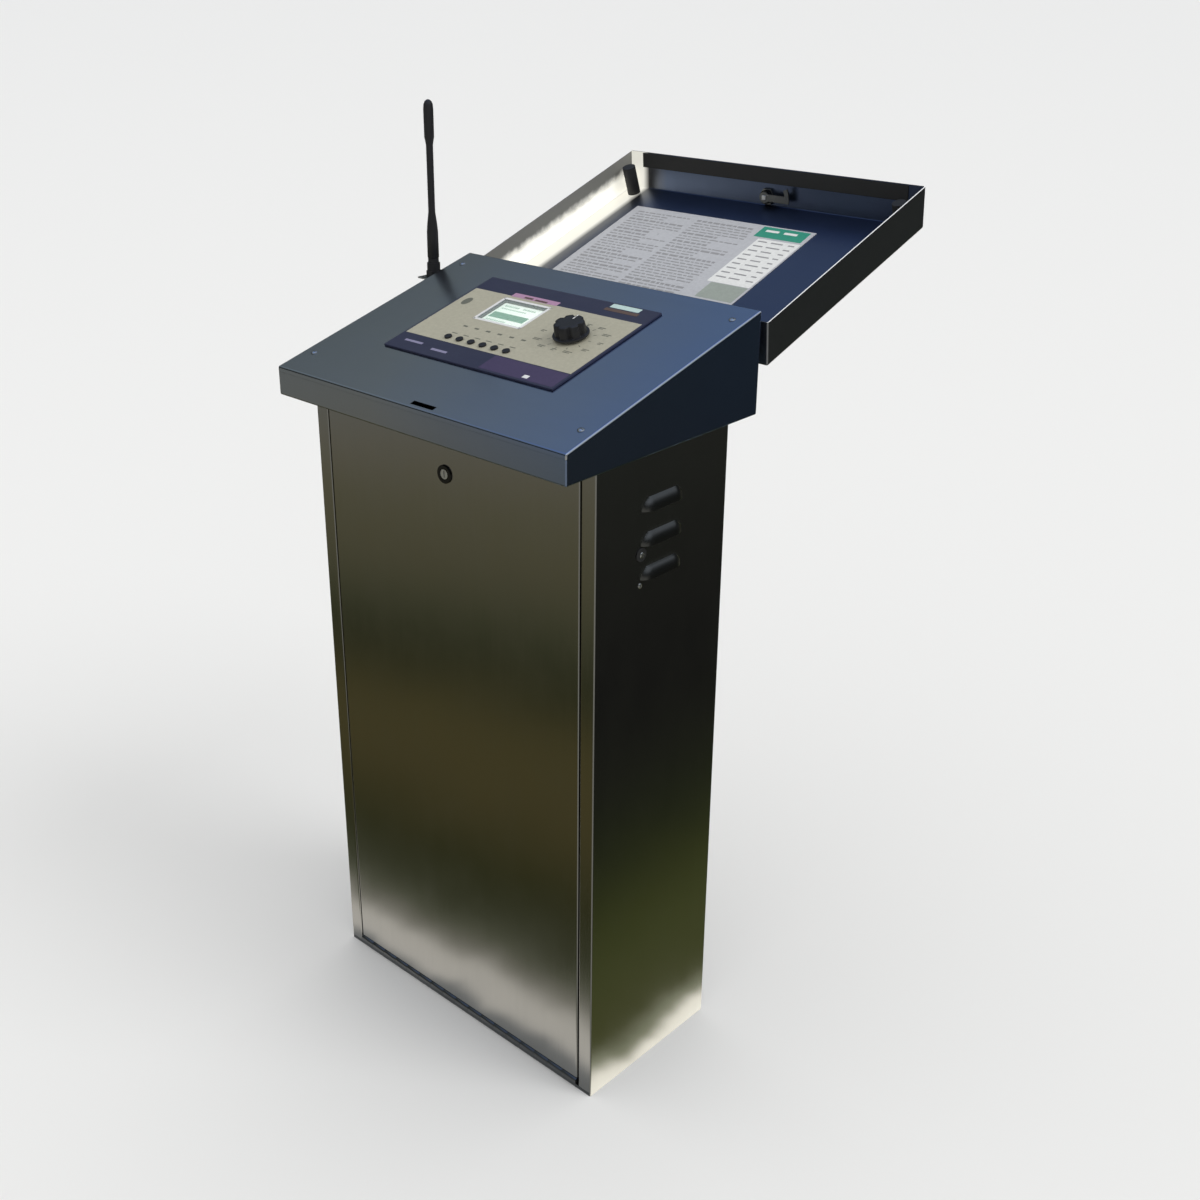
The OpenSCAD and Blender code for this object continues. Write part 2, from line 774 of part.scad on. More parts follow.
// Arm with a claw that swings down through the console's slot and under its end
module lid_lock_hook() {
    claw_in = lid_hook_r - 7;
    color("silver") swung_open() translate([hook_x, lid_front_y + lid_hook_y, lid_lock_z]) difference() {
        union() {
            rod_y(7.5, 0, 2);
            intersection() {
                rod_y(lid_hook_r, 0, 2);
                translate([0, 0, -5]) cube([lid_hook_r, 2, 10]);
            }
            intersection() {
                difference() {
                    rod_y(lid_hook_r, 0, 2);
                    rod_y(claw_in, -cut, 2 + cut);
                }
                rotate([90, 0, 0]) translate([0, 0, -3])
                    linear_extrude(height = 4) polygon([[0, 0], [80, 0], [80, -80 * tan(22)]]);
            }
        }
        translate([-3, -cut, -3]) cube([6, 4, 6]);
    }
}

// ---- Antenna

module antenna_bracket() {
    color("silver") difference() {
        union() {
            box_at([-head_w / 2 - bracket_t, -head_w / 2], [antenna_y - 16, antenna_y + 16],
                [bracket_z - 36, bracket_z]);
            box_at([antenna_x - 14, -head_w / 2], [antenna_y - 16, antenna_y + 16],
                [bracket_z - bracket_t, bracket_z]);
        }
        translate([0, antenna_y, feed_z]) rod_x(feed_r + 0.5, -head_w / 2 - 2 * bracket_t, -head_w / 2 + cut);
        translate([antenna_x, antenna_y, bracket_z - 2 * bracket_t]) cylinder(r = 5.2, h = 4 * bracket_t);
        for (s = [-1, 1])
            translate([0, antenna_y + s * 10, bracket_z - 30]) rod_x(2.05, -head_w / 2 - 5, -head_w / 2 + cut);
    }
}

module bracket_screws() {
    color("silver") for (s = [-1, 1])
        translate([-head_w / 2 - bracket_t, antenna_y + s * 10, bracket_z - 30])
            rotate([0, -90, 0]) pan_screw(3.6, 2, bracket_t);
}

// Elbow that carries the aerial lead from the base into the head
module antenna_feed() {
    color("dimgray") {
        translate([antenna_x, antenna_y, feed_z]) cylinder(r = feed_r, h = bracket_z - feed_z);
        translate([antenna_x, antenna_y, feed_z]) sphere(r = feed_r);
        translate([0, antenna_y, feed_z]) rod_x(feed_r, antenna_x, -head_w / 2 + sheet);
    }
}

module antenna_base() {
    color("dimgray") translate([antenna_x, antenna_y, bracket_z]) difference() {
        union() {
            cylinder(r = 10, h = 8, $fn = 6);
            translate([0, 0, 8]) cylinder(r = 8.5, h = 10);
            translate([0, 0, 18]) cylinder(r = 7, h = 6);
        }
        translate([0, 0, 12]) cylinder(r = 3.05, h = 20);
    }
}

module antenna_whip() {
    color("black") translate([antenna_x, antenna_y, bracket_z]) {
        translate([0, 0, 12.2]) cylinder(r = 3, h = 14);
        translate([0, 0, 24.2]) cylinder(r = 7.6, h = 50);
        translate([0, 0, 70]) cylinder(r = 4.5, h = antenna_len - 90);
        translate([0, 0, antenna_len - 50]) cylinder(r = 6.5, h = 44);
        translate([0, 0, antenna_len - 6.5]) sphere(r = 6.5);
    }
}

// ---- Equipment in the cabinet

module backboard() {
    color("gainsboro") difference() {
        box_at([-190, 190], [backboard_y, backboard_y + backboard_t], [140, body_h - 150]);
        backboard_corners() rod_y(2.6, -cut, backboard_t + cut);
    }
}

module backboard_corners() {
    for (s = [-1, 1], z = [160, body_h - 170]) translate([s * 175, backboard_y, z]) children();
}

module backboard_spacers() {
    color("silver") backboard_corners() {
        rod_y(6, backboard_t, backboard_t + board_gap);
        rod_y(2.5, -2, backboard_t);
        rod_y(5, -4, 0);
    }
}

// Laminated core with its winding
module transformer() {
    color("saddlebrown") translate([-110, backboard_y, 250]) {
        box_at([-42, 42], [-52, 0], [-36, 36]);
        box_at([-26, 26], [-64, -52], [-24, 24]);
        box_at([-56, 56], [-2, 0], [-36, 36]);
    }
}

module terminal_strips() {
    color("seagreen") for (z = [body_h - 290, body_h - 230], i = [0 : 11])
        translate([-114 + i * 19, backboard_y - 22, z]) difference() {
            cube([18.6, 22, 26]);
            translate([9.3, -cut, 19]) rotate([-90, 0, 0]) cylinder(r = 3, h = 6);
            translate([5, -cut, 3]) cube([8.6, 8, 7]);
        }
}

module battery() {
    color("darkslategray") {
        box_at([75, 140], [-65, 86], [base_t, base_t + 94]);
        for (y = [-50, 60]) box_at([84, 90], [y, y + 8], [base_t + 94, base_t + 100]);
    }
}

module ground_bar() {
    color("goldenrod") difference() {
        box_at([30, 150], [backboard_y - 14, backboard_y - 8], [200, 214]);
        for (i = [0 : 6]) translate([42 + i * 16, backboard_y - 20, 207]) rod_y(2.5, 0, 20);
    }
    color("silver") for (x = [34, 146]) translate([x, backboard_y - 8, 207]) rod_y(3.5, 0, 8);
}

module radio_modem() {
    color("dimgray") box_at([-head_w / 2 + sheet, -head_w / 2 + sheet + 28],
        [antenna_y - 46, antenna_y + 18], [feed_z - 40, feed_z + 7]);
}

base_plate();
left_side_panel();
right_side_panel();
back_panel();
door_header();
frame_hinge_leaf();
door_hinge_pin();
head_shell();
console_plate();
console_screws();
head_hinge_leaf();
lid_hinge_pin();
lid_stops();
vent_screens();
side_plug();
side_screws();
backboard();
backboard_spacers();
transformer();
terminal_strips();
battery();
ground_bar();
radio_modem();
antenna_bracket();
bracket_screws();
antenna_feed();
antenna_base();
antenna_whip();
control_fascia();
lcd_window();
lcd_module();
main_board();
key_switches();
dial_switch();
controller_case();
case_screws();
door_panel();
door_hinge_leaf();
door_lock_barrel();
door_lock_nut();
door_lock_plug();
door_lock_cam();
lid_shell();
lid_hinge_leaf();
lid_placard();
lid_seal();
lid_bumpers();
lid_lock_barrel();
lid_lock_nut();
lid_lock_plug();
lid_lock_hook();
dial_knob();
dial_shaft();
button_1();
button_2();
button_3();
button_4();
button_5();
button_6();
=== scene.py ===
"""Looks of a free-standing stainless steel control pedestal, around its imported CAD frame."""

import json
import math
import random

import bmesh
import bpy
from mathutils import Matrix, Vector


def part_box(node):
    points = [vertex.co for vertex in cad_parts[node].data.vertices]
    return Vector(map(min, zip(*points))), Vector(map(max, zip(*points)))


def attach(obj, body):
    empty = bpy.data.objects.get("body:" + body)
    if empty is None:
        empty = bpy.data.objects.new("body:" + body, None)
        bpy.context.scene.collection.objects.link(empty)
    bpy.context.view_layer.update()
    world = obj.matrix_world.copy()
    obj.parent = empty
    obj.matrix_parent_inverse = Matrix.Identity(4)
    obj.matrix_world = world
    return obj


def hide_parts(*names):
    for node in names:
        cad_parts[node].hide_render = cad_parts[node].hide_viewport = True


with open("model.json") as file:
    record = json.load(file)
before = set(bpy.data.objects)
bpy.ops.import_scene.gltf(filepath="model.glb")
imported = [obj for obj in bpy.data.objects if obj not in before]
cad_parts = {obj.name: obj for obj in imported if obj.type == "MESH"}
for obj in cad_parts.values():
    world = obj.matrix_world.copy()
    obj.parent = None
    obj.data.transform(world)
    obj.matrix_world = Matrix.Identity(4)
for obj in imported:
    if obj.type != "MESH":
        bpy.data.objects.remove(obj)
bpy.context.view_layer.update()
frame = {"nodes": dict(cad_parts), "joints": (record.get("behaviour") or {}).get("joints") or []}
nodes = frame["nodes"]
joints = {j["name"]: j for j in frame["joints"]}
scene = bpy.context.scene
random.seed(7)
MM = 0.001


# ---- Measures read from the frame

def lo(node):
    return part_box(node)[0]


def hi(node):
    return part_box(node)[1]


SHEET = hi("back_panel").y - lo("back_panel").y
HALF_W = hi("back_panel").x + SHEET
FRONT_Y = lo("door_panel").y
BACK_Y = hi("back_panel").y
BODY_H = hi("back_panel").z
HEAD_X = hi("head_shell").x
HEAD_F = lo("head_shell").y
HEAD_B = hi("head_shell").y
SKIRT = 6 * MM            # turned-down edge of the console plate
HEAD_LOW = lo("console_plate").z + SKIRT
dial_axis = Vector(joints["dial_turn"]["axis"])
SLOPE = math.atan2(-dial_axis.y, dial_axis.z)
SLOPE_LEN = (HEAD_B - HEAD_F) / math.cos(SLOPE)
TAN = math.tan(SLOPE)
lid_axis = Vector(joints["lid_hinge"]["pos_m"])
LID_OPEN = math.radians(joints["lid_hinge"]["range_deg"][1])
LID_GAP = 1.3 * MM        # between the lid and the head
DOOR_GAP = 2.0 * MM       # between the door and the frame strips
LID_X = hi("lid_shell").x
LID_F = HEAD_F - LID_GAP - SHEET
LID_B = HEAD_B + LID_GAP + SHEET
LID_OVERLAP = 8 * MM
LID_RISE = 43 * MM

ON_SLOPE = Matrix.Translation((0, HEAD_F, HEAD_LOW)) @ Matrix.Rotation(SLOPE, 4, "X")
SWING = (Matrix.Translation(lid_axis) @ Matrix.Rotation(-LID_OPEN, 4, "X")
         @ Matrix.Translation(-lid_axis))
IN_LID = (SWING @ Matrix.Translation((0, 0, LID_RISE)) @ ON_SLOPE
          @ Matrix.Translation((0, 0, -SHEET)) @ Matrix.Diagonal((1, 1, -1, 1)))


def slope_z(y, depth=0.0):
    return HEAD_LOW + (y - HEAD_F) * TAN - depth / math.cos(SLOPE)


def slope_uv(node):
    """Centre of a node across and up the slope of the console."""
    a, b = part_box(node)
    local = ON_SLOPE.inverted() @ ((a + b) / 2)
    return local.x, local.y


def slope_top(node):
    """Height of a node's top face off the slope of the console."""
    inv = ON_SLOPE.inverted()
    return max((inv @ v.co).z for v in nodes[node].data.vertices)


# ---- Camera, at the photograph's viewing angle

def make_camera():
    yaw, pitch, roll = math.radians(44.39), math.radians(23.4), math.radians(-0.62)
    fwd = Vector((-math.sin(yaw) * math.cos(pitch), math.cos(yaw) * math.cos(pitch),
                  -math.sin(pitch)))
    right = Vector((math.cos(yaw), math.sin(yaw), 0))
    up = right.cross(fwd)
    right2 = math.cos(roll) * right + math.sin(roll) * up
    up2 = -math.sin(roll) * right + math.cos(roll) * up
    cam = bpy.data.cameras.new("camera")
    cam.sensor_width = 36
    cam.lens = 44.225
    cam.shift_x = 0.0619
    cam.shift_y = -0.0375
    cam.clip_start, cam.clip_end = 0.05, 200
    obj = bpy.data.objects.new("camera", cam)
    scene.collection.objects.link(obj)
    rot = Matrix((right2, up2, -fwd)).transposed().to_4x4()
    obj.matrix_world = Matrix.Translation((1.16323, -1.1697, 1.34345)) @ rot
    scene.camera = obj


make_camera()


# ---- Node-tree helper for materials

class Mat:
    def __init__(self, name, color, metallic=0.0, rough=0.5, **sockets):
        self.mat = bpy.data.materials.new(name)
        self.mat.use_nodes = True
        self.tree = self.mat.node_tree
        self.tree.nodes.clear()
        self.out = self.add("ShaderNodeOutputMaterial")
        self.bsdf = self.add("ShaderNodeBsdfPrincipled")
        self.link(self.bsdf.outputs[0], self.out.inputs[0])
        self.bsdf.inputs["Base Color"].default_value = (*color, 1)
        self.bsdf.inputs["Metallic"].default_value = metallic
        self.bsdf.inputs["Roughness"].default_value = rough
        for k, v in sockets.items():
            self.bsdf.inputs[k.replace("_", " ")].default_value = v
        self.coord = self.add("ShaderNodeTexCoord").outputs["Object"]

    def add(self, kind, **props):
        n = self.tree.nodes.new(kind)
        for k, v in props.items():
            setattr(n, k, v)
        return n

    def link(self, a, b):
        self.tree.links.new(a, b)

    def xyz(self):
        s = self.add("ShaderNodeSeparateXYZ")
        self.link(self.coord, s.inputs[0])
        return s.outputs[0], s.outputs[1], s.outputs[2]

    def noise(self, scale, stretch=(1, 1, 1), detail=2.0, rot=(0, 0, 0), rough=0.5):
        m = self.add("ShaderNodeMapping")
        m.inputs["Scale"].default_value = stretch
        m.inputs["Rotation"].default_value = rot
        self.link(self.coord, m.inputs[0])
        n = self.add("ShaderNodeTexNoise")
        n.inputs["Scale"].default_value = scale
        n.inputs["Detail"].default_value = detail
        n.inputs["Roughness"].default_value = rough
        self.link(m.outputs[0], n.inputs["Vector"])
        return n.outputs["Fac"]

    def spread(self, fac, low, high, a=0.3, b=0.7):
        r = self.add("ShaderNodeMapRange")
        for k, v in (("From Min", a), ("From Max", b), ("To Min", low), ("To Max", high)):
            r.inputs[k].default_value = v
        self.link(fac, r.inputs["Value"])
        return r.outputs[0]

    def math(self, op, a, b=None):
        n = self.add("ShaderNodeMath", operation=op)
        for i, v in enumerate((a, b)):
            if isinstance(v, (int, float)):
                n.inputs[i].default_value = v
            elif v is not None:
                self.link(v, n.inputs[i])
        return n.outputs[0]

    def mix(self, fac, a, b, blend="MIX"):
        n = self.add("ShaderNodeMix", data_type="RGBA", blend_type=blend)
        for i, v in ((0, fac), (6, a), (7, b)):
            if isinstance(v, (int, float)):
                n.inputs[i].default_value = v
            elif isinstance(v, tuple):
                n.inputs[i].default_value = (*v, 1)
            else:
                self.link(v, n.inputs[i])
        return n.outputs[2]

    def set(self, socket, value):
        self.link(value, self.bsdf.inputs[socket])

    def bump(self, height, strength, distance):
        b = self.add("ShaderNodeBump")
        b.inputs["Strength"].default_value = strength
        b.inputs["Distance"].default_value = distance
        self.link(height, b.inputs["Height"])
        if self.bsdf.inputs["Normal"].is_linked:
            self.link(self.bsdf.inputs["Normal"].links[0].from_socket, b.inputs["Normal"])
        self.link(b.outputs[0], self.bsdf.inputs["Normal"])


def scaled(color, k):
    return tuple(min(1.0, c * k) for c in color)


def brushed(name, color, along, rough=0.27, painted_reflection=None, glow=None):
    """Brushed steel. along is the axis of the grain, 'x' or 'z'. The painted-reflection argument,
    (colour, from, to, share of y), multiplies a painted reflection into the colour; glow, (colour,
    from, to), is a painted highlight given off as emission; both along x in metres."""
    m = Mat(name, color, 1.0, rough)
    fine = {"x": (9, 2200, 2200), "z": (2200, 2200, 9)}[along]
    broad = {"x": (1.5, 60, 60), "z": (60, 60, 1.2)}[along]
    hair = m.noise(1.0, fine, 3.0)
    band = m.noise(1.0, broad, 2.0)
    patch = m.noise(6.0, (1, 1, 1), 3.0)
    smear = m.noise(22.0, (1, 1, 0.6), 4.0, rough=0.65)
    base = m.mix(m.spread(hair, 0, 1), scaled(color, 0.96), scaled(color, 1.03))
    base = m.mix(m.spread(band, 0.0, 0.10), base, scaled(color, 0.85))
    base = m.mix(m.spread(patch, 0.0, 0.2), base, scaled(color, 0.88))
    # Painted reflection: the colour is multiplied by a given colour between two places across x
    if painted_reflection:
        x, y, z = m.xyz()
        across = m.math("ADD", x, m.math("MULTIPLY", y, painted_reflection[3]))
        base = m.mix(m.spread(across, 0.0, 1.0, painted_reflection[1], painted_reflection[2]), base,
                     m.mix(1.0, base, painted_reflection[0], "MULTIPLY"))
    m.set("Base Color", base)
    # Painted highlight: emission rises between two places along x
    if glow:
        m.bsdf.inputs["Emission Color"].default_value = (*glow[0], 1)
        m.set("Emission Strength", m.spread(m.xyz()[0], 0.0, 0.7, glow[1], glow[2]))
    r = m.math("ADD", m.spread(hair, -0.015, 0.02), m.spread(smear, rough - 0.015, rough + 0.03))
    m.set("Roughness", r)
    m.bump(hair, 0.06, 0.00004)
    m.bump(patch, 0.04, 0.003)
    return m.mat


def plastic(name, color, rough=0.45, grain=900.0, depth=0.0001, **sockets):
    m = Mat(name, color, 0.0, rough, **sockets)
    tex = m.noise(grain, detail=2.0)
    dust = m.noise(35.0, detail=4.0, rough=0.7)
    m.set("Base Color", m.mix(m.spread(dust, 0.0, 0.5), scaled(color, 0.9),
                              tuple(min(1, c * 1.15 + 0.006) for c in color)))
    m.set("Roughness", m.spread(dust, rough - 0.06, rough + 0.1))
    m.bump(tex, 0.3, depth)
    return m.mat


def printed(name, color, rough=0.4):
    """Ink or film: nearly flat, with faint mottling."""
    m = Mat(name, color, 0.0, rough)
    spot = m.noise(240.0, detail=3.0, rough=0.7)
    wash = m.noise(14.0, detail=2.0)
    m.set("Base Color", m.mix(m.spread(spot, 0, 1), scaled(color, 0.92), scaled(color, 1.06)))
    m.set("Roughness", m.spread(wash, rough - 0.05, rough + 0.1))
    m.bump(spot, 0.1, 0.00005)
    return m.mat


STEEL = (0.42, 0.415, 0.39)
steel_body = brushed("brushed_body", STEEL, "z", 0.18)
# Darker steel for the foot and hardware; at the foot, under the door, its darkness is also painted
# shade
dark_steel_and_foot_shade = brushed("foot_steel_and_shade", (0.17, 0.175, 0.175), "x", 0.3)
# Head steel with a painted blue sky reflection that grows towards the right-hand side
steel_head = brushed("brushed_head", (0.43, 0.45, 0.47), "x", 0.21,
                     painted_reflection=((0.60, 0.82, 1.35), -0.15, 0.28, 0.5))
steel_lid = brushed("brushed_lid", (0.40, 0.41, 0.43), "x", 0.3)
# Lid's inner steel: darker and bluer as painted shade and sky reflection, lighter and browner to the
# left as painted reflection, with a glowing painted highlight strip by the left flange
lid_inner_painted_light = brushed("brushed_lid_inside_painted_light", (0.115, 0.145, 0.225), "x", 0.34,
                           painted_reflection=((2.3, 1.75, 1.0), -0.17, -0.225, 0.0),
                           glow=((1.0, 0.98, 0.88), -0.203, -0.213))
# Pale painted highlight for the lid's rim
rim_painted_highlight = printed("rim_painted_highlight", (0.92, 0.93, 0.95), 0.4)
steel_bright = brushed("bright_hardware", (0.62, 0.62, 0.60), "x", 0.25)
# Darker steel for the louvre hoods, as painted shade
hood_painted_shade = brushed("louvre_painted_shade", (0.15, 0.15, 0.145), "z", 0.32)
# Pale steel as a painted highlight on the console's right-hand bends
bend_painted_highlight = brushed("bend_painted_highlight", (0.86, 0.87, 0.88), "x", 0.34)
lock_ring = brushed("lock_ring", (0.055, 0.055, 0.055), "z", 0.25)
chrome = brushed("lock_chrome", (0.92, 0.92, 0.92), "z", 0.42)
rubber = plastic("black_rubber", (0.018, 0.018, 0.018), 0.6, 700.0)
black = plastic("black_plastic", (0.016, 0.016, 0.018), 0.42)
beige = printed("overlay_beige", (0.41, 0.395, 0.31), 0.38)
navy = printed("overlay_navy", (0.026, 0.029, 0.062), 0.35)
violet = printed("overlay_violet", (0.055, 0.04, 0.10), 0.35)
magenta = printed("overlay_pink", (0.42, 0.24, 0.38), 0.35)
teal = printed("overlay_cyan", (0.50, 0.66, 0.64), 0.35)
umber = printed("overlay_umber", (0.11, 0.07, 0.055), 0.4)
lilac = printed("overlay_lilac", (0.24, 0.23, 0.36), 0.4)
ink = printed("overlay_ink", (0.14, 0.145, 0.115), 0.4)
pale = printed("overlay_pale", (0.72, 0.73, 0.74), 0.4)
grey_ink = printed("placard_ink", (0.31, 0.31, 0.32), 0.45)
sage = printed("placard_sage", (0.33, 0.37, 0.33), 0.4)
paper = printed("placard_paper", (0.50, 0.51, 0.54), 0.3)
white = printed("placard_white", (0.80, 0.81, 0.80), 0.35)
green_ink = printed("placard_green", (0.03, 0.30, 0.20), 0.4)
pcb = plastic("circuit_board", (0.02, 0.13, 0.05), 0.35, 300.0)
enamel = plastic("white_enamel", (0.62, 0.62, 0.60), 0.3, 120.0, 0.00005)
iron = plastic("varnished_iron", (0.10, 0.06, 0.035), 0.4, 500.0)
terminal = plastic("terminal_green", (0.03, 0.22, 0.10), 0.4)
case_grey = plastic("battery_case", (0.045, 0.055, 0.065), 0.45)
brass = brushed("bar_brass", (0.70, 0.52, 0.22), "x", 0.3)
glass = Mat("window_glass", (0.80, 0.92, 0.84), 0.0, 0.06, Alpha=0.16, IOR=1.5)
haze = glass.noise(60.0, detail=3.0)
glass.set("Roughness", glass.spread(haze, 0.04, 0.12))
glass = glass.mat


# ---- CAD nodes that keep their shape: eased edges and a material

def dress(material, *names, ease=0.35, angle=35.0):
    for n in names:
        ob = nodes[n]
        ob.data.materials.clear()
        ob.data.materials.append(material)
        if ease:
            w = ob.modifiers.new("weld", "WELD")
            w.merge_threshold = 0.00001
            b = ob.modifiers.new("ease", "BEVEL")
            b.width = ease * MM
            b.segments = 2
            b.limit_method = "ANGLE"
            b.angle_limit = math.radians(angle)
            b.harden_normals = False
            b.use_clamp_overlap = True


dress(steel_body, "back_panel", "door_header", ease=0.5)
dress(dark_steel_and_foot_shade, "base_plate", "frame_hinge_leaf", "door_hinge_leaf", "door_hinge_pin",
      "lid_lock_hook", "lid_lock_nut", ease=0.4)
dress(steel_bright, "head_hinge_leaf",
      "lid_hinge_leaf", "lid_hinge_pin", "console_screws", "side_screws", "bracket_screws",
      "case_screws", "backboard_spacers", "antenna_bracket", "door_lock_cam",
      "door_lock_nut", "dial_shaft", "vent_screens", ease=0.25)
dress(lock_ring, "door_lock_barrel", "lid_lock_barrel", ease=0.5)
dress(chrome, "door_lock_plug", "lid_lock_plug", ease=0.3)
dress(rubber, "lid_stops", "lid_seal", "lid_bumpers", "side_plug", ease=0.6)
dress(black, "dial_switch", "key_switches", "antenna_base", "antenna_feed", "controller_case",
      "radio_modem", *[f"button_{i}" for i in range(1, 7)], ease=0.5)
dress(navy, "control_fascia", ease=0.6)
dress(glass, "lcd_window", ease=0.2)
dress(black, "lcd_module", ease=0.4)
dress(paper, "lid_placard", ease=0.2)
dress(pcb, "main_board", ease=0.2)
dress(enamel, "backboard", ease=0.5)
dress(iron, "transformer", ease=0.8)
dress(terminal, "terminal_strips", ease=0.4)
dress(case_grey, "battery", ease=1.0)
dress(brass, "ground_bar", ease=0.4)


# ---- Mesh helpers

def place(name, bm, body, material, angle=35.0, materials=()):
    me = bpy.data.meshes.new(name)
    bm.to_mesh(me)
    bm.free()
    me.shade_smooth()
    me.set_sharp_from_angle(angle=math.radians(angle))
    for m in (material, *materials):
        me.materials.append(m)
    ob = bpy.data.objects.new(name, me)
    scene.collection.objects.link(ob)
    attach(ob, body)
    return ob


def settle(ob):
    """Applies the modifiers of an object."""
    dg = bpy.context.evaluated_depsgraph_get()
    me = bpy.data.meshes.new_from_object(ob.evaluated_get(dg))
    ob.modifiers.clear()
    ob.data = me


def thicken(ob, thickness, edge=0.35):
    s = ob.modifiers.new("sheet", "SOLIDIFY")
    s.thickness = thickness
    s.offset = -1
    s.use_even_offset = True
    b = ob.modifiers.new("edges", "BEVEL")
    b.width = edge * MM
    b.segments = 2
    b.limit_method = "ANGLE"
    b.angle_limit = math.radians(50)
    settle(ob)
    ob.data.shade_smooth()
    ob.data.set_sharp_from_angle(angle=math.radians(35))


def box_mesh(bm, low, high, matrix=Matrix()):
    made = bmesh.ops.create_cube(bm, size=1.0)
    low, high = Vector(low), Vector(high)
    size = high - low
    bmesh.ops.transform(bm, matrix=matrix @ Matrix.Translation((low + high) / 2)
                        @ Matrix.Diagonal((*size, 1)), verts=made["verts"])
    return made["verts"]


def cut(ob, boxes=(), rods=()):
    """Cuts boxes (low, high, matrix) and rods (centre, axis, radius, length) out of a mesh."""
    bm = bmesh.new()
    for low, high, matrix in boxes:
        box_mesh(bm, low, high, matrix)
    for centre, axis, radius, length in rods:
        made = bmesh.ops.create_cone(bm, segments=48, radius1=radius, radius2=radius,
                                     depth=length, cap_ends=True)
        turn = Vector((0, 0, 1)).rotation_difference(Vector(axis)).to_matrix().to_4x4()
        bmesh.ops.transform(bm, matrix=Matrix.Translation(centre) @ turn, verts=made["verts"])
    bmesh.ops.recalc_face_normals(bm, faces=bm.faces)
    me = bpy.data.meshes.new("cutter")
    bm.to_mesh(me)
    bm.free()
    tool = bpy.data.objects.new("cutter", me)
    scene.collection.objects.link(tool)
    b = ob.modifiers.new("cut", "BOOLEAN")
    b.operation = "DIFFERENCE"
    b.solver = "EXACT"
    b.object = tool
    settle(ob)
    bpy.data.objects.remove(tool)
    ob.data.shade_smooth()
    ob.data.set_sharp_from_angle(angle=math.radians(35))


def folded(name, base, top, radius, dropped, body, material):
    """A folded sheet-metal tray. base and top are four corners each, dropped(normal) says which
    sides are open; the bends have the given outer radius."""
    bm = bmesh.new()
    vb = [bm.verts.new(p) for p in base]
    vt = [bm.verts.new(p) for p in top]
    faces = [bm.faces.new(vb[::-1]), bm.faces.new(vt)]
    for i in range(4):
        j = (i + 1) % 4
        faces.append(bm.faces.new((vb[i], vb[j], vt[j], vt[i])))
    bmesh.ops.recalc_face_normals(bm, faces=bm.faces)
    gone = [f for f in bm.faces if dropped(f.normal)]
    keep_sharp = {e for f in gone for e in f.edges}
    normals = [f.normal.copy() for f in gone]
    bends = [e for e in bm.edges if e not in keep_sharp]
    bmesh.ops.bevel(bm, geom=bends, offset=radius, offset_type="OFFSET", segments=5,
                    profile=0.5, affect="EDGES", clamp_overlap=True)
    bm.faces.ensure_lookup_table()
    open_faces = [f for f in bm.faces if any(f.normal.dot(n) > 0.9999 for n in normals)]
    bmesh.ops.delete(bm, geom=open_faces, context="FACES")
    ob = place(name, bm, body, material)
    return ob


def prism(x, y0, y1, z0, z1, foot_slopes=True):
    """Corners of a wedge: its top, and where asked its foot too, climb towards the back."""
    climb = (y1 - y0) * TAN
    zb = z0 + (climb if foot_slopes else 0)
    base = [(-x, y0, z0), (x, y0, z0), (x, y1, zb), (-x, y1, zb)]
    top = [(-x, y0, z1), (x, y0, z1), (x, y1, z1 + climb), (-x, y1, z1 + climb)]
    return base, top


# ---- Cabinet skins with pressed louvres

PLUG_R, PLUG_SCREW_R = 5.2 * MM, 2.2 * MM
PLUG_DROP = 37 * MM       # from the plug down to its screw
LOUVRE_R, LOUVRE_PROUD, LOUVRE_LEN = 18 * MM, 7.5 * MM, 68 * MM
LOUVRE_Y, LOUVRE_TOP, LOUVRE_PITCH = -3 * MM, 49 * MM, 40 * MM
HOOD_H = math.sqrt(LOUVRE_R ** 2 - (LOUVRE_R - LOUVRE_PROUD) ** 2)
louvre_cuts = [BODY_H - LOUVRE_TOP - HOOD_H - i * LOUVRE_PITCH for i in range(3)]


def hood(y, z, cut_z):
    """How far a pressed hood stands off the sheet at a place at or above its cut edge."""
    up = z - cut_z
    if up < -1e-6 or up > HOOD_H:
        return 0.0
    past = max(0.0, abs(y - LOUVRE_Y) - (LOUVRE_LEN / 2 - HOOD_H))
    rest = LOUVRE_R ** 2 - up ** 2 - past ** 2
    if rest <= 0:
        return 0.0
    return max(0.0, math.sqrt(rest) - (LOUVRE_R - LOUVRE_PROUD))


def arc(centre, radius, a0, a1, n=5):
    return [(centre[0] + radius * math.cos(math.radians(a0 + (a1 - a0) * i / n)),
             centre[1] + radius * math.sin(math.radians(a0 + (a1 - a0) * i / n)))
            for i in range(n + 1)]


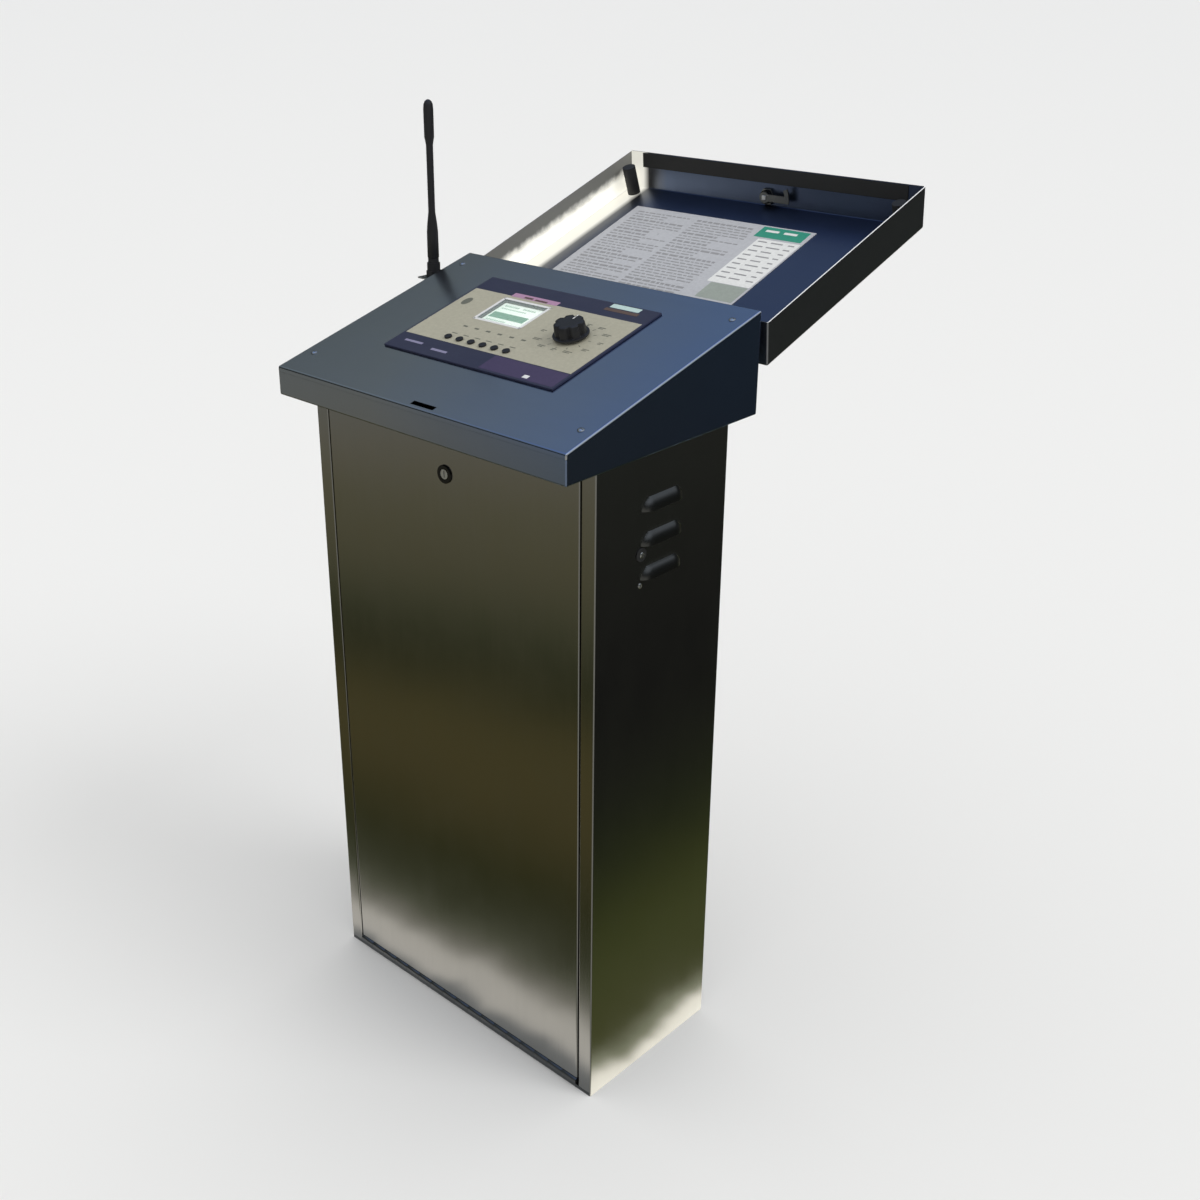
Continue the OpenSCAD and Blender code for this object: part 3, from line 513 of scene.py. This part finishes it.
def cabinet_side(name, node, side):
    r, r2 = 2.0 * MM, 2.0 * MM
    strip_x = hi("door_panel").x + DOOR_GAP
    jamb_y = FRONT_Y + 14 * MM
    span = 44 * MM
    step = 2 * MM
    path = [(HALF_W, BACK_Y), (HALF_W, 0.5 * (BACK_Y + span))]
    n = int(round(2 * span / step))
    path += [(HALF_W, LOUVRE_Y + span - i * step) for i in range(n + 1)]
    path += arc((HALF_W - r, FRONT_Y + r), r, 0, -90)
    path += arc((strip_x + r2, FRONT_Y + r2), r2, -90, -180)
    path += [(strip_x, jamb_y)]
    heights = [0.0, 5 * MM, 7 * MM, 0.3, 0.6]
    z0 = louvre_cuts[-1] - 8 * MM
    z1 = louvre_cuts[0] + HOOD_H + 8 * MM
    rows = int(round((z1 - z0) / step))
    heights += [z0 + (z1 - z0) * i / rows for i in range(rows + 1)] + louvre_cuts
    heights += [BODY_H]
    heights.sort()
    cleaned = [heights[0]]
    for h in heights[1:]:
        if h - cleaned[-1] > 0.45 * MM:
            cleaned.append(h)
        elif h in louvre_cuts:
            cleaned[-1] = h
    bm = bmesh.new()
    upper, lower = [], []
    for z in cleaned:
        at_cut = [c for c in louvre_cuts if abs(c - z) < 1e-7]
        row_u, row_l = [], []
        for x, y in path:
            out = max(hood(y, z, c) for c in louvre_cuts) if x == HALF_W else 0.0
            v = bm.verts.new((side * (x + out), y, z))
            row_u.append(v)
            if at_cut and out > 0:
                row_l.append(bm.verts.new((side * x, y, z)))
            else:
                row_l.append(v)
        upper.append(row_u)
        lower.append(row_l)
    for k in range(len(cleaned) - 1):
        for i in range(len(path) - 1):
            mid_x = 0.5 * (path[i][0] + path[i + 1][0])
            if cleaned[k + 1] <= 5.1 * MM and mid_x < HALF_W - SHEET:
                continue
            quad = (upper[k][i], upper[k][i + 1], lower[k + 1][i + 1], lower[k + 1][i])
            bm.faces.new(quad)
    bmesh.ops.delete(bm, geom=[v for v in bm.verts if not v.link_faces], context="VERTS")
    bm.normal_update()
    flip = [f for f in bm.faces if f.calc_center_median().x * side > HALF_W - 1e-4
            and f.normal.x * side < 0]
    if len(flip) > len(bm.faces) / 4:
        bmesh.ops.reverse_faces(bm, faces=bm.faces)
    ob = place(name, bm, "cabinet", steel_body)
    thicken(ob, SHEET, 0.2)
    if side > 0:
        plug = lo("side_plug").lerp(hi("side_plug"), 0.5)
        cut(ob, rods=[((HALF_W, plug.y, plug.z), (1, 0, 0), PLUG_R, 12 * MM),
                      ((HALF_W, plug.y, plug.z - PLUG_DROP), (1, 0, 0), PLUG_SCREW_R, 12 * MM)])
    # Painted shade: the hood faces get a darker steel
    ob.data.materials.append(hood_painted_shade)
    for f in ob.data.polygons:
        if f.center.x * side > HALF_W + 0.5 * MM:
            f.material_index = 1
    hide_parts(node)


cabinet_side("side_skin_left", "left_side_panel", -1)
cabinet_side("side_skin_right", "right_side_panel", 1)


# ---- Door

def make_door():
    a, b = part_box("door_panel")
    base = [(a.x, a.y, a.z), (b.x, a.y, a.z), (b.x, b.y, a.z), (a.x, b.y, a.z)]
    top = [(x, y, b.z) for x, y, z in base]
    ob = folded("door_skin", base, top, 2.0 * MM, lambda n: n.y > 0.9 or n.z < -0.9,
                "door", steel_body)
    thicken(ob, SHEET)
    leaf_top = hi("door_hinge_leaf").z + 0.8 * MM
    boxes = [((s * b.x - 3 * MM, a.y + SHEET, a.z - 0.01), (s * b.x + 3 * MM, b.y + 0.01, leaf_top),
              Matrix()) for s in (-1, 1)]
    lock = lo("door_lock_barrel").lerp(hi("door_lock_barrel"), 0.5)
    cut(ob, boxes, [((lock.x, a.y, lock.z), (0, 1, 0), 9 * MM, 10 * MM)])
    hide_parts("door_panel")


make_door()


# ---- Head

def make_head():
    base, top = prism(HEAD_X, HEAD_F, HEAD_B, BODY_H, HEAD_LOW - SKIRT, False)
    slope_n = Vector((0, -math.sin(SLOPE), math.cos(SLOPE)))
    shell = folded("head_skin", base, top, 2.2 * MM, lambda n: n.dot(slope_n) > 0.99,
                   "cabinet", steel_head)
    thicken(shell, SHEET)
    m = 18 * MM
    mouth = ((-HALF_W + m, FRONT_Y + m + 10 * MM, BODY_H - m),
             (HALF_W - m, BACK_Y - m, BODY_H + 3 * MM), Matrix())
    feed = lo("antenna_feed").lerp(hi("antenna_feed"), 0.5)
    feed_z = lo("antenna_feed").z + 4 * MM
    cut(shell, [mouth], [((-HEAD_X, feed.y, feed_z), (1, 0, 0), 4.5 * MM, 12 * MM)])
    # Frame that stands up inside the console plate's skirt
    inset = SHEET + 0.2 * MM
    low = slope_z(HEAD_F + inset, SHEET) - 16.5 * MM
    base, top = prism(HEAD_X - inset, HEAD_F + inset, HEAD_B - inset, low,
                      slope_z(HEAD_F + inset, SHEET))
    up = folded("head_upstand", base, top, 1.2 * MM, lambda n: n.dot(slope_n) < -0.99,
                "cabinet", steel_head)
    thicken(up, SHEET, 0.2)
    slot_x = HEAD_X - 30 * MM
    cut(up, [((-slot_x, 4 * MM, -5 * MM), (slot_x, SLOPE_LEN - 16 * MM, MM), ON_SLOPE)])
    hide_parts("head_shell")


def make_console():
    base, top = prism(HEAD_X, HEAD_F, HEAD_B, HEAD_LOW - SKIRT, HEAD_LOW)
    slope_n = Vector((0, -math.sin(SLOPE), math.cos(SLOPE)))
    ob = folded("console_skin", base, top, 2.2 * MM, lambda n: n.dot(slope_n) < -0.99,
                "cabinet", steel_head)
    thicken(ob, SHEET, 0.25)
    a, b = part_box("controller_case")
    cu, cv = slope_uv("control_fascia")
    half_w = (b.x - a.x) / 2 + 0.5 * MM
    half_h = 88.5 * MM
    deep = 5 * MM
    hole = ((cu - half_w, cv - half_h, -deep), (cu + half_w, cv + half_h, deep), ON_SLOPE)
    slot = ((-3 * MM, 5 * MM, -deep), (33 * MM, 12 * MM, deep), ON_SLOPE)
    rods = []
    for s in (-1, 1):
        for v in (43 * MM, 299 * MM):
            rods.append((ON_SLOPE @ Vector((s * (HEAD_X - 18 * MM), v, 0)), dial_axis,
                         2.05 * MM, 12 * MM))
    cut(ob, [hole, slot], rods)
    # Painted highlight: the right-hand bends get a pale steel of their own
    ob.data.materials.append(bend_painted_highlight)
    for f in ob.data.polygons:
        if 0.2 < f.normal.x < 0.97 and f.center.x > HEAD_X - 3 * MM:
            f.material_index = 1
    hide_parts("console_plate")


make_head()
make_console()


# ---- Lid, built closed and swung open

def flange_painted_highlight():
    """The left flange's inner face: a painted highlight, pale and glowing next to the panel, grey at
    the rim.
    """
    m = Mat("lid_flange_painted_highlight", (0.95, 0.93, 0.86), 0.0, 0.5)
    inv = IN_LID.inverted()
    x, y, z = m.xyz()
    off = m.math("ADD", m.math("MULTIPLY", y, inv[2][1]), m.math("MULTIPLY", z, inv[2][2]))
    off = m.math("ADD", off, inv[2][3])
    spot = m.noise(90.0, (0.2, 1, 1), 3.0)
    off = m.math("ADD", off, m.spread(spot, -0.002, 0.002))
    m.set("Base Color", m.mix(m.spread(off, 0.0, 1.0, 0.020, 0.032), (0.95, 0.93, 0.86),
                              (0.20, 0.20, 0.185)))
    m.set("Roughness", m.spread(spot, 0.4, 0.6))
    m.bsdf.inputs["Emission Color"].default_value = (1.0, 0.98, 0.86, 1)
    m.set("Emission Strength", m.spread(off, 0.50, 0.0, 0.018, 0.030))
    return m.mat


def make_lid():
    low = slope_z(LID_F)
    base, top = prism(LID_X, LID_F, LID_B, low - LID_OVERLAP, low + LID_RISE)
    slope_n = Vector((0, -math.sin(SLOPE), math.cos(SLOPE)))
    ob = folded("lid_skin", base, top, 2.4 * MM, lambda n: n.dot(slope_n) < -0.99,
                "lid", steel_lid)
    thicken(ob, SHEET, 0.5)
    lock = Vector((3 * MM, LID_F, low + LID_RISE - 13 * MM))
    cut(ob, rods=[(lock, (0, 1, 0), 9 * MM, 12 * MM)])
    # Inner faces get a darker, bluer steel as painted shade and sky reflection, the left flange's
    # inner face a glowing painted highlight, and the rim a pale painted highlight
    for m in (lid_inner_painted_light, flange_painted_highlight(), rim_painted_highlight):
        ob.data.materials.append(m)
    centre = Vector((0, (LID_F + LID_B) / 2, slope_z((LID_F + LID_B) / 2) + LID_RISE / 2))
    for f in ob.data.polygons:
        if f.normal.dot(centre - f.center) > 0:
            inner = (abs(f.center.x) < LID_X - SHEET * 0.9 and f.center.y > LID_F + SHEET * 0.9
                     and f.center.y < LID_B - SHEET * 0.9)
            if inner:
                f.material_index = 1
                if f.center.x < -LID_X + 2 * SHEET and abs(f.normal.x) > 0.9:
                    f.material_index = 2
    for f in ob.data.polygons:
        if f.normal.dot(slope_n) < -0.9 and abs(f.center.x) > LID_X - 2 * SHEET:
            f.material_index = 3
    ob.data.transform(SWING)
    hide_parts("lid_shell")


make_lid()


# ---- Dial

def make_dial():
    a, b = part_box("dial_knob")
    centre = Vector(joints["dial_turn"]["pos_m"])
    local = ON_SLOPE.inverted() @ centre
    foot = 5.4 * MM
    height = slope_top("dial_knob") - foot
    radius = (b.x - a.x) / 2
    flutes = 7
    rings = [(0.0, 0.30), (0.0, 0.985), (0.10, 1.0), (0.135, 0.995), (0.15, 0.96), (0.155, 0.88),
             (0.20, 0.865), (0.5, 0.85), (0.90, 0.83), (0.965, 0.80), (0.995, 0.74), (1.0, 0.6),
             (0.985, 0.3), (0.98, 0.02)]
    n = 112
    bm = bmesh.new()
    grid = []
    for h, r in rings:
        row = []
        for k in range(n):
            t = 2 * math.pi * k / n
            dip = max(0.0, math.cos(flutes * t)) ** 1.5
            body = 1.0 if (h >= 0.2 and r > 0.55) else 0.0
            rr = radius * (r - 0.15 * dip * body)
            row.append(bm.verts.new((rr * math.cos(t), rr * math.sin(t), foot + h * height)))
        grid.append(row)
    for i in range(len(grid) - 1):
        for k in range(n):
            j = (k + 1) % n
            bm.faces.new((grid[i][k], grid[i][j], grid[i + 1][j], grid[i + 1][k]))
    bm.faces.new(grid[-1])
    bm.faces.new(grid[0][::-1])
    turn = (Matrix.Translation(ON_SLOPE @ Vector((local.x, local.y, 0)))
            @ Matrix.Rotation(SLOPE, 4, "X"))
    bmesh.ops.transform(bm, matrix=turn, verts=bm.verts)
    ob = place("dial_grip", bm, "dial", black, 40)
    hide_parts("dial_knob")
    mark = bmesh.new()
    box_mesh(mark, (-0.7 * MM, 7 * MM, foot + height - 1.2 * MM),
             (0.7 * MM, radius * 0.78, foot + height - 0.02 * MM), turn)
    place("dial_mark", mark, "dial", pale)


make_dial()


# ---- Printed overlay on the fascia

def patch(bm, u0, v0, u1, v1, w0, w1, matrix, index=0, round_r=0.0):
    """A thin printed patch between two corners, its edges lightly rounded."""
    r = min(round_r, (u1 - u0) / 2 - 1e-5, (v1 - v0) / 2 - 1e-5)
    if r <= 0:
        pts = [(u0, v0), (u1, v0), (u1, v1), (u0, v1)]
    else:
        pts = []
        for cx, cy, a in ((u1 - r, v0 + r, -90), (u1 - r, v1 - r, 0), (u0 + r, v1 - r, 90),
                          (u0 + r, v0 + r, 180)):
            pts += arc((cx, cy), r, a, a + 90, 4)
    low = [bm.verts.new(matrix @ Vector((x, y, w0))) for x, y in pts]
    top = [bm.verts.new(matrix @ Vector((x, y, w1))) for x, y in pts]
    faces = [bm.faces.new(top)]
    for i in range(len(pts)):
        j = (i + 1) % len(pts)
        faces.append(bm.faces.new((low[i], low[j], top[j], top[i])))
    for f in faces:
        f.material_index = index


def make_overlay():
    cu, cv = slope_uv("control_fascia")
    w = slope_top("control_fascia")
    mats = [navy, magenta, teal, ink, pale, beige, violet, umber, lilac]
    bm = bmesh.new()

    def put(u0, v0, u1, v1, index, lift=0.12, r=0.6):
        patch(bm, cu + u0 * MM, cv + v0 * MM, cu + u1 * MM, cv + v1 * MM, w - 0.3 * MM,
              w + lift * MM, ON_SLOPE, index, r * MM)

    wu, wv = slope_uv("lcd_window")
    du, dv = (wu - cu) / MM, (wv - cv) / MM
    for u0, v0, u1, v1 in ((-133, -60, 133, dv - 27), (-133, dv + 27, 133, 62),
                           (-133, dv - 27, du - 37, dv + 27), (du + 37, dv - 27, 133, dv + 27)):
        put(u0, v0, u1, v1, 5, 0.12, 0)
    put(20, -91, 133, -61.5, 6, 0.1)
    put(-72, 61, 2, 70, 1, 0.2)
    put(-52, 62.5, -38, 66, 7, 0.3)
    put(-34, 61.8, -14, 65, 7, 0.3)
    put(67, 83, 110, 91.5, 2, 0.2)
    put(64, 75, 114, 81, 7, 0.2)
    put(85, -88, 93, -82, 4, 0.2)
    put(-118, -77, -88, -73, 8, 0.2)
    put(-68, -82, -42, -78, 8, 0.2)
    # Frame round the display
    for u0, v0, u1, v1 in ((-39, -29, 39, -25.4), (-39, 25.4, 39, 29), (-39, -29, -35.4, 29),
                           (35.4, -29, 39, 29)):
        put(du + u0, dv + v0, du + u1, dv + v1, 4, 0.25)
    # Short label bars over the buttons
    for i in range(1, 7):
        bu, bv = slope_uv(f"button_{i}")
        bu, bv = (bu - cu) / MM, (bv - cv) / MM
        put(bu - 4.5, bv + 9.5, bu + 4.5, bv + 11.0, 3, 0.18, 0.3)
        put(bu - 3.5, bv + 27, bu + 3.5, bv + 30, 3, 0.18, 0.3)
    # Marks round the dial: a tick and a short bar at each stop
    centre = ON_SLOPE.inverted() @ Vector(joints["dial_turn"]["pos_m"])
    for k in range(12):
        a = math.radians(30 * k)
        at = Matrix.Translation((centre.x, centre.y, 0)) @ Matrix.Rotation(-a, 4, "Z")
        tick = ON_SLOPE @ at
        patch(bm, -0.5 * MM, 25 * MM, 0.5 * MM, 29 * MM, w - 0.3 * MM, w + 0.18 * MM, tick, 3)
        r = 36 + 7 * abs(math.sin(a))
        c = Vector((centre.x + r * MM * math.sin(a), centre.y + (r - 5) * MM * math.cos(a), 0))
        flat = ON_SLOPE @ Matrix.Translation(c)
        width = 3.6 + 1.3 * (k % 3)
        for row in (0, 1):
            patch(bm, -width * MM, (0.5 - 2.6 * row) * MM, (width - 2.5 * row) * MM,
                  (1.9 - 2.6 * row) * MM, w - 0.3 * MM, w + 0.18 * MM, flat, 3)
    # Generic oval badge
    oval = []
    for i in range(28):
        t = 2 * math.pi * i / 28
        oval.append(bm.verts.new(ON_SLOPE @ Vector((cu - 118 * MM + 6 * MM * math.cos(t),
                                                    cv + 30 * MM + 9 * MM * math.sin(t),
                                                    w + 0.2 * MM))))
    bm.faces.new(oval).material_index = 3
    bmesh.ops.recalc_face_normals(bm, faces=bm.faces)
    place("fascia_print", bm, "cabinet", mats[0], materials=mats[1:])


make_overlay()


# ---- Lit display

def make_display():
    lit = Mat("lcd_lit", (0.62, 0.78, 0.66), 0.0, 0.3)
    wash = lit.noise(9.0, detail=1.0)
    color = lit.mix(lit.spread(wash, 0, 1), (0.74, 0.86, 0.79), (0.92, 0.95, 0.92))
    lit.set("Base Color", color)
    lit.set("Emission Color", color)
    lit.bsdf.inputs["Emission Strength"].default_value = 0.35
    dark = printed("lcd_segments", (0.42, 0.60, 0.50), 0.3)
    band = printed("lcd_band", (0.10, 0.36, 0.24), 0.3)
    u, v = slope_uv("lcd_window")
    bm = bmesh.new()
    floor_w = -0.95 * MM
    hw, hh = 33 * MM, 23 * MM
    patch(bm, u - hw, v - hh, u + hw, v + hh, floor_w - 0.04 * MM, floor_w, ON_SLOPE, 0, MM)
    rows = [(-28, 15, -4, 18.5, 1), (2, 15, 22, 18.5, 1), (-28, 9, 12, 11.5, 1),
            (-30, -12, 26, 1, 2), (-28, -19, 4, -16.5, 1)]
    for u0, v0, u1, v1, k in rows:
        step = 3.4
        x = u0
        while x < u1 - 0.5:
            wide = min(step - 0.9, u1 - x) if k == 1 else (u1 - x)
            patch(bm, u + x * MM, v + v0 * MM, u + (x + wide) * MM, v + v1 * MM,
                  floor_w - 0.02 * MM, floor_w + 0.06 * MM, ON_SLOPE, k, 0.3 * MM)
            x += step if k == 1 else 1000
    bmesh.ops.recalc_face_normals(bm, faces=bm.faces)
    place("lcd_face", bm, "cabinet", lit.mat, materials=[dark, band])


make_display()


# ---- Print on the instruction sheet

def make_placard():
    bm = bmesh.new()
    inv = IN_LID.inverted()
    corners = [inv @ v.co for v in nodes["lid_placard"].data.vertices]
    u0, v0 = min(c.x for c in corners), min(c.y for c in corners)
    t = max(c.z for c in corners)

    def put(p0, q0, p1, q1, index, lift=0.12, r=0.3):
        patch(bm, u0 + p0 * MM, v0 + q0 * MM, u0 + p1 * MM, v0 + q1 * MM, t - 0.2 * MM,
              t + lift * MM, IN_LID, index, r * MM)

    # A ruled pale field with dashed lines of filler in three columns
    put(6, 6, 290, 194, 0, 0.05, 2)
    put(238, 146, 294, 182, 5, 0.1, 1)
    put(230, 33, 295, 145, 1, 0.1, 1)
    put(219, 3, 291, 29, 2, 0.2, 1)
    for c0, c1 in ((12, 108), (116, 212)):
        q = 12
        while q < 186:
            p = c0
            tall = 2.2 if random.random() < 0.8 else 4.0
            end = c1 if random.random() < 0.75 else c0 + (c1 - c0) * 0.6
            while p < end - 3:
                wide = random.uniform(4, 15)
                put(p, q, min(p + wide, end), q + tall, 3, 0.16, 0.2)
                p += wide + 2.2
            q += tall + 4.2
    for k in range(9):
        q = 38 + k * 11.5
        for p, wide in ((234, 16), (254, 22), (280, 11)):
            put(p, q, p + wide * random.uniform(0.7, 1.0), q + 2.6, 3, 0.2, 0.5)
    for k in range(2):
        put(228 + 28 * k, 10, 248 + 28 * k, 15, 1, 0.3, 0.5)
    bmesh.ops.recalc_face_normals(bm, faces=bm.faces)
    place("placard_print", bm, "lid", paper,
          materials=[white, green_ink, grey_ink, ink, sage])


make_placard()


# ---- Antenna whip

def make_whip():
    a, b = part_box("antenna_whip")
    cx, cy = (a.x + b.x) / 2, (a.y + b.y) / 2
    z0, top = a.z, b.z
    body = z0 + 12 * MM
    prof = [(z0, 3.0), (body - 0.2 * MM, 3.0), (body, 6.6), (body + MM, 7.5),
            (body + 34 * MM, 7.3), (body + 46 * MM, 6.2), (body + 56 * MM, 4.9)]
    z = body + 60 * MM
    while z < top - 60 * MM:
        prof += [(z, 4.45), (z + 1.2 * MM, 4.55), (z + 2.4 * MM, 4.45)]
        z += 9 * MM
    prof += [(top - 56 * MM, 4.5), (top - 50 * MM, 5.4), (top - 46 * MM, 6.3), (top - 12 * MM, 6.4),
             (top - 6 * MM, 5.9), (top - 2.4 * MM, 4.4), (top - 0.6 * MM, 2.2), (top, 0.3)]
    n = 40
    bm = bmesh.new()
    grid = [[bm.verts.new((cx + r * MM * math.cos(2 * math.pi * k / n),
                           cy + r * MM * math.sin(2 * math.pi * k / n), z)) for k in range(n)]
            for z, r in prof]
    for i in range(len(grid) - 1):
        for k in range(n):
            j = (k + 1) % n
            bm.faces.new((grid[i][k], grid[i][j], grid[i + 1][j], grid[i + 1][k]))
    bm.faces.new(grid[-1])
    bm.faces.new(grid[0][::-1])
    ob = place("whip", bm, "cabinet", black, 50)
    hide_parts("antenna_whip")


make_whip()


# ---- Flat sheet stays flat in reflections: bends do not pull on the normals of the faces

for skin in ("side_skin_left", "side_skin_right", "door_skin", "head_skin", "head_upstand",
             "console_skin", "lid_skin"):
    even = bpy.data.objects[skin].modifiers.new("even", "WEIGHTED_NORMAL")
    even.weight = 100
    even.keep_sharp = True


# ---- Studio: floor, world and light

def gloss_ramp(m, fac, stops):
    ramp = m.add("ShaderNodeValToRGB")
    els = ramp.color_ramp.elements
    while len(els) > 1:
        els.remove(els[-1])
    els[0].position = stops[0][0]
    els[0].color = (*stops[0][1], 1)
    for p, c in stops[1:]:
        e = els.new(p)
        e.color = (*c, 1)
    m.link(fac, ramp.inputs[0])
    return ramp.outputs[0]


# Colours the floor shows to reflections only: painted reflection bands in front of and beside the
# cabinet; the camera sees the floor plain and pale
FRONT_RAMP = [(0.0, (0.25, 0.26, 0.27)), (0.018, (0.31, 0.32, 0.33)), (0.036, (0.84, 0.81, 0.77)),
              (0.063, (0.84, 0.81, 0.76)), (0.083, (0.32, 0.31, 0.27)), (0.107, (0.14, 0.15, 0.10)),
              (0.137, (0.073, 0.079, 0.044)), (0.200, (0.046, 0.049, 0.019)),
              (0.307, (0.108, 0.091, 0.039)), (0.394, (0.114, 0.097, 0.039)),
              (0.450, (0.044, 0.047, 0.023)), (0.490, (0.040, 0.045, 0.023)),
              (0.530, (0.092, 0.098, 0.056)), (0.560, (0.136, 0.125, 0.076)),
              (0.640, (0.155, 0.148, 0.09)), (0.700, (0.225, 0.205, 0.165)),
              (0.736, (0.21, 0.22, 0.215))]
RIGHT_RAMP = [(0.0, (1.9, 1.85, 1.7)), (0.014, (1.7, 1.65, 1.5)), (0.030, (0.44, 0.46, 0.33)),
              (0.055, (0.11, 0.118, 0.046)), (0.134, (0.094, 0.108, 0.038)),
              (0.186, (0.072, 0.084, 0.026)), (0.260, (0.028, 0.034, 0.017)),
              (0.335, (0.021, 0.022, 0.018)), (0.410, (0.014, 0.014, 0.014)),
              (0.540, (0.023, 0.024, 0.021)), (0.640, (0.030, 0.033, 0.030))]
CORNER_LIGHT = (0.32, 0.32, 0.30)
FRONT_REACH, SIDE_REACH = 1.059, 0.935     # metres over which half of each ramp is used up


def make_floor():
    m = Mat("studio_floor", (0.86, 0.86, 0.85), 0.0, 0.8)
    x, y, z = m.xyz()
    ax, ay = m.math("ABSOLUTE", x), m.math("ABSOLUTE", y)
    dx = m.math("MAXIMUM", m.math("SUBTRACT", ax, HALF_W), 0.0)
    dy = m.math("MAXIMUM", m.math("SUBTRACT", ay, BACK_Y), 0.0)
    in_front = m.math("LESS_THAN", y, -BACK_Y)
    to_right = m.math("GREATER_THAN", x, HALF_W)
    px = m.math("DIVIDE", dx, m.math("ADD", dx, SIDE_REACH))
    lean = m.spread(dy, 0.07, 0.16, 0.1, 0.5)
    skew = m.math("SUBTRACT", dy, m.math("MULTIPLY", x, lean))
    py = m.math("DIVIDE", skew, m.math("ADD", dy, FRONT_REACH))
    fog = m.noise(7.0, (1, 1, 1), 3.0)
    wob = m.spread(fog, -0.012, 0.012)
    front = gloss_ramp(m, m.math("ADD", py, wob), FRONT_RAMP)
    side = gloss_ramp(m, m.math("ADD", px, wob), RIGHT_RAMP)
    beside = m.math("SUBTRACT", 1.0, in_front)
    seen = m.mix(m.math("MULTIPLY", beside, m.math("GREATER_THAN", dx, 0.0)), front, side)
    seen = m.mix(m.math("MULTIPLY", in_front, to_right), seen, CORNER_LIGHT)
    # Painted reflection: glossy rays see these bands as emission
    glow = m.add("ShaderNodeEmission")
    m.link(seen, glow.inputs[0])
    path = m.add("ShaderNodeLightPath")
    mixer = m.add("ShaderNodeMixShader")
    m.link(path.outputs["Is Glossy Ray"], mixer.inputs[0])
    m.link(m.bsdf.outputs[0], mixer.inputs[1])
    m.link(glow.outputs[0], mixer.inputs[2])
    m.link(mixer.outputs[0], m.out.inputs[0])
    bm = bmesh.new()
    bmesh.ops.create_grid(bm, x_segments=8, y_segments=8, size=120)
    me = bpy.data.meshes.new("floor")
    bm.to_mesh(me)
    bm.free()
    me.materials.append(m.mat)
    ob = bpy.data.objects.new("floor", me)
    scene.collection.objects.link(ob)


def make_world():
    w = bpy.data.worlds.new("studio")
    scene.world = w
    w.use_nodes = True
    t = w.node_tree
    t.nodes.clear()
    new = t.nodes.new
    out = new("ShaderNodeOutputWorld")
    plain = new("ShaderNodeBackground")
    plain.inputs[0].default_value = (1.0, 1.0, 1.0, 1)
    plain.inputs[1].default_value = 0.86
    sky = new("ShaderNodeBackground")
    coord = new("ShaderNodeTexCoord")
    sep = new("ShaderNodeSeparateXYZ")
    t.links.new(coord.outputs["Generated"], sep.inputs[0])
    ramp = new("ShaderNodeValToRGB")
    t.links.new(sep.outputs[2], ramp.inputs[0])
    els = ramp.color_ramp.elements
    els[0].position, els[0].color = 0.0, (0.022, 0.024, 0.022, 1)
    els[1].position, els[1].color = 1.0, (0.30, 0.42, 0.70, 1)
    for p, c in ((0.40, (0.026, 0.03, 0.03)), (0.52, (0.18, 0.21, 0.22)), (0.68, (0.28, 0.33, 0.37)),
                 (0.82, (0.16, 0.26, 0.55))):
        els.new(p).color = (*c, 1)
    # A soft light to the right, which the folded edges catch
    right = new("ShaderNodeMapRange")
    right.inputs["From Min"].default_value = 0.1
    right.inputs["From Max"].default_value = 0.4
    t.links.new(sep.outputs[0], right.inputs["Value"])
    above = new("ShaderNodeMapRange")
    above.inputs["From Min"].default_value = 0.35
    above.inputs["From Max"].default_value = 0.6
    t.links.new(sep.outputs[2], above.inputs["Value"])
    both = new("ShaderNodeMath")
    both.operation = "MULTIPLY"
    t.links.new(right.outputs[0], both.inputs[0])
    t.links.new(above.outputs[0], both.inputs[1])
    lit = new("ShaderNodeMix")
    lit.data_type = "RGBA"
    t.links.new(both.outputs[0], lit.inputs[0])
    t.links.new(ramp.outputs[0], lit.inputs[6])
    lit.inputs[7].default_value = (0.50, 0.55, 0.62, 1)
    t.links.new(lit.outputs[2], sky.inputs[0])
    path = new("ShaderNodeLightPath")
    mix = new("ShaderNodeMixShader")
    t.links.new(path.outputs["Is Glossy Ray"], mix.inputs[0])
    t.links.new(plain.outputs[0], mix.inputs[1])
    t.links.new(sky.outputs[0], mix.inputs[2])
    t.links.new(mix.outputs[0], out.inputs[0])


def lamp(name, kind, energy, position, target, **props):
    data = bpy.data.lights.new(name, kind)
    data.energy = energy
    for k, v in props.items():
        setattr(data, k, v)
    ob = bpy.data.objects.new(name, data)
    scene.collection.objects.link(ob)
    aim = Vector(target) - Vector(position)
    ob.matrix_world = (Matrix.Translation(position)
                       @ aim.to_track_quat("-Z", "Y").to_matrix().to_4x4())
    return ob


make_floor()
make_world()
key = lamp("key", "SUN", 0.9, (3.0, 1.0, 3.5), (0, 0, 0.6), angle=math.radians(30))
key.visible_glossy = False

scene.view_settings.view_transform = "Standard"
scene.view_settings.look = "None"
